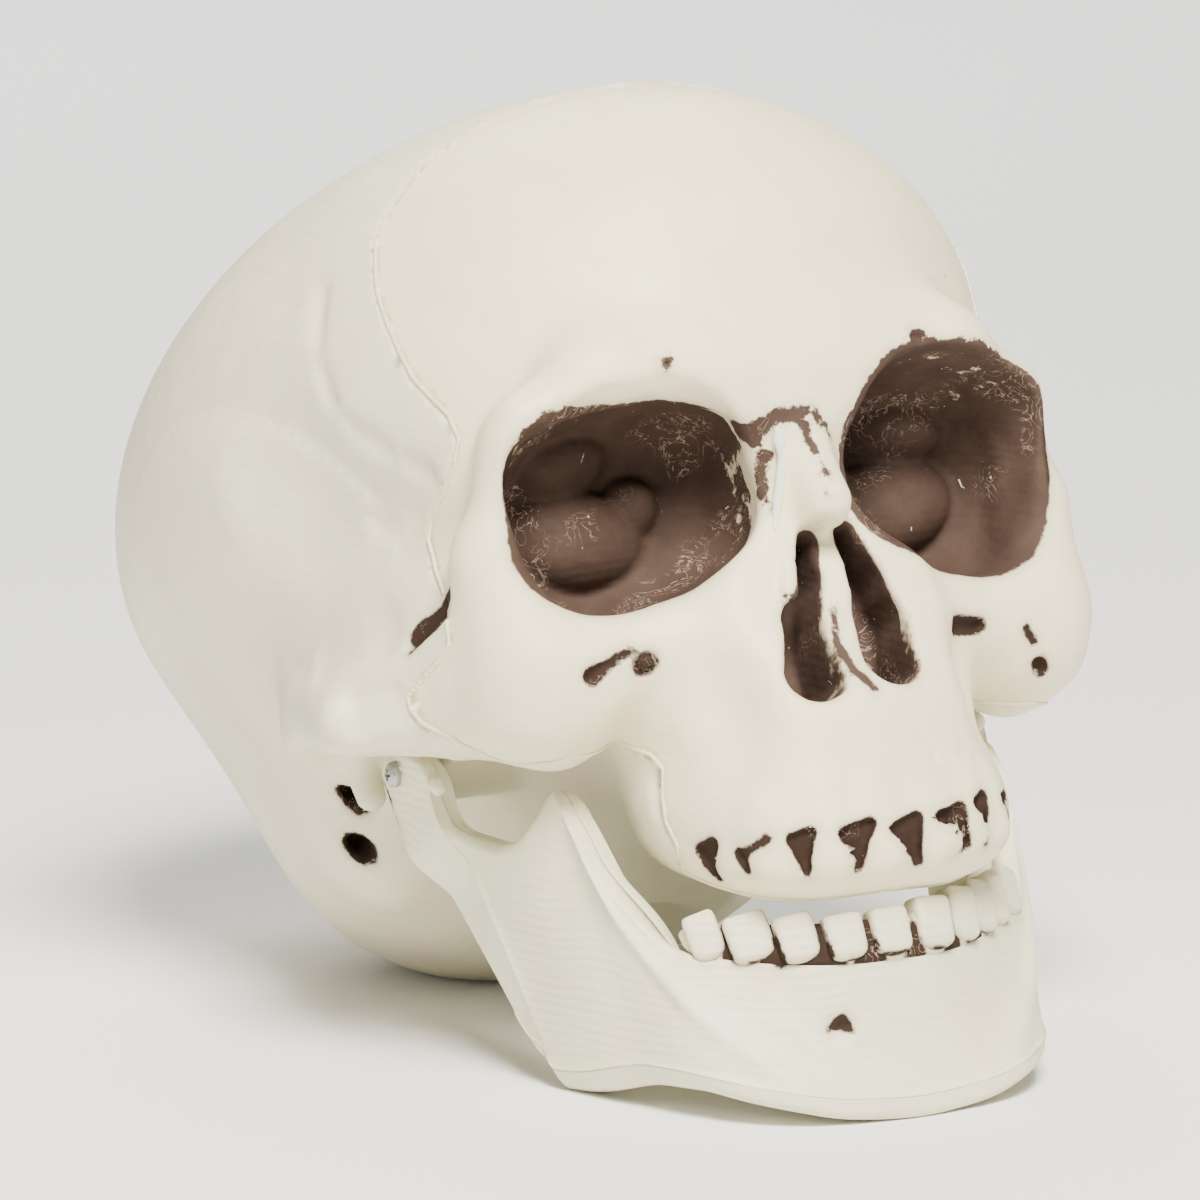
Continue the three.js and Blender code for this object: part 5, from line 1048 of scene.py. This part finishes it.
# The jaw's batch looks greyer than the head's, and grazing light shows faint ripples on it.
jaw_vinyl = vinyl("matt cream vinyl, jaw", "#ECE7C8", "#DEDCBD", 0.5, 0.5)
inner_jaw_vinyl = vinyl("matt cream vinyl, inner jaw", "#E4E1C3", "#D8D6B9", 0.55)
nubs = [pebble((side * 52.6, 32.1, -13.4), (1.5, 1.5, 1.7)) for side in (-1, 1)]
shell_points, shell_faces = whole_jaw(True)
shell_points = dented(shell_points)
outer = joined([(shell_points, shell_faces)] + bodies + nubs)
inner = whole_jaw(False)
outer_stain = [lines_depth(shell_points.astype(np.float32), JAW_BRUSHED)] + stains
outer_stain = np.concatenate(outer_stain + [np.full(len(nub[0]), -9.0) for nub in nubs])
inner_stain = lines_depth(inner[0].astype(np.float32), gum_lines)
for name, node, (points, faces), material, stain, slot_name in (
    ("jaw_outer_cast", "jaw_outer_shell", outer, jaw_vinyl, outer_stain, "jaw_plastic"),
    ("jaw_inner_cast", "jaw_inner_shell", inner, inner_jaw_vinyl, inner_stain, "inner_jaw_plastic"),
):
    # all the jaw's paint takes the darkest brown: thick paint and painted shade in the tooth gaps
    paint = {"stain": stain, "ragged": np.full(len(points), 0.5), "thick": np.ones(len(points))}
    piece = new_piece(name, points, faces, material, paint)
    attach(piece, "jaw")
    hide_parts(node)


# Beside the root of the nose a thin run of milky white vinyl has set on the painted plastic, and round the
# upper half of each screw the ear's plastic is torn up in a fine white rim. Both are smooth and a little shiny.
RUN_LINE = np.array([
    [-6.1, 90.5, 25.6], [-6.1, 89.9, 22.4], [-6.4, 89.3, 19.4], [-7.1, 88.2, 16.4], [-7.8, 86.9, 12.4],
    [-8.4, 86.4, 9.6],
])
RUN_WIDTHS = [0.3, 1.15, 0.75, 0.95, 0.7, 0.85, 0.5, 0.2]
RIM_RADIUS, RIM_THICKNESS = 1.95, 0.3


def bead_rings(path, wide, along, thin, out):
    """A closed bead of 14-sided rings round a path: as wide as given across it, and thin times that outward."""
    turn = np.linspace(0, 2 * math.pi, 15)[:-1]
    side = unit(np.cross(unit(along), out))
    ring = np.cos(turn)[None, :, None] * side[:, None] + thin * np.sin(turn)[None, :, None] * out[:, None]
    return closed_run(path[:, None] + wide[:, None, None] * ring)


# Set vinyl is a little shiny and lets light a millimetre in, so it looks milky beside the matt casting.
milky, milky_shader = new_material("milky white vinyl, run and set", 0.3)
milky_shader.inputs["Base Color"].default_value = linear("#E6E5DA")
milky_shader.inputs["Subsurface Weight"].default_value = 0.15
milky_shader.inputs["Subsurface Scale"].default_value = 0.001
share = np.linspace(0, len(RUN_LINE) - 1, 60)
path = np.stack([np.interp(share, np.arange(len(RUN_LINE)), RUN_LINE[:, i]) for i in range(3)], -1)
wide = np.interp(share, np.linspace(0, len(RUN_LINE) - 1, len(RUN_WIDTHS)), RUN_WIDTHS)
along = np.gradient(path, axis=0)
path = drawn_to(head_form, path.astype(np.float32), 0.1, rounds=4)
_, slope = slope_of(head_form, path)
places, faces = bead_rings(path, wide, along, 0.45, unit(slope))
run = new_piece("milky_run", places, faces, milky, {})
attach(run, "head")
turn = np.radians(np.linspace(-70, 150, 60))
wobble = RIM_RADIUS + 0.16 * np.sin(5 * turn) + 0.08 * np.sin(11 * turn)
across = [HINGE[1] + wobble * np.cos(turn), HINGE[2] + wobble * np.sin(turn)]
wide = RIM_THICKNESS * np.sqrt(np.sin(np.linspace(0.05, math.pi - 0.05, 60))) + 0.06 * np.sin(9 * turn)
rims = []
for side in (-1, 1):
    path = np.stack([0 * turn + side * (EAR_OUTSIDE + 0.03), *across], -1)
    rims.append(bead_rings(path, wide, np.gradient(path, axis=0), 1.0, np.tile([side, 0.0, 0.0], (60, 1))))
places, faces = joined(rims)
rim_piece = new_piece("torn_rims", places, faces, milky, {})
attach(rim_piece, "jaw")


# Two small pan head screws of zinc plated steel, cold headed with a pressed cross recess, one driven through each
# ear of the jaw. The plating has dulled: blotches of 1 mm vary its grey and its gloss, and pit it a little.
screw_steel, screw_shader = new_material("dull zinc plated steel, cold headed", 0.42, 1.0)
tree = screw_steel.node_tree
at = add_node(tree, "TexCoord").outputs["Object"]
blotch = add_node(tree, "TexNoise", {"Vector": at, "Scale": 1000 / 1.1111, "Detail": 4, "Roughness": 0.65})
zinc = add_node(tree, "Mix", {0: blotch, 6: linear("#8E9090"), 7: linear("#C2C4C3")}, data_type="RGBA")
tree.links.new(zinc.outputs[2], screw_shader.inputs["Base Color"])
dull = add_node(tree, "MapRange", {"Value": blotch, "From Min": 0.3, "From Max": 0.7, "To Min": 0.3, "To Max": 0.55})
tree.links.new(dull.outputs[0], screw_shader.inputs["Roughness"])
pits = add_node(tree, "Bump", {"Height": blotch, "Strength": 0.4, "Distance": 0.0001})
tree.links.new(pits.outputs["Normal"], screw_shader.inputs["Normal"])
for node in ("hinge_screw_right", "hinge_screw_left"):
    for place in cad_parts[node].material_slots:
        place.material = screw_steel
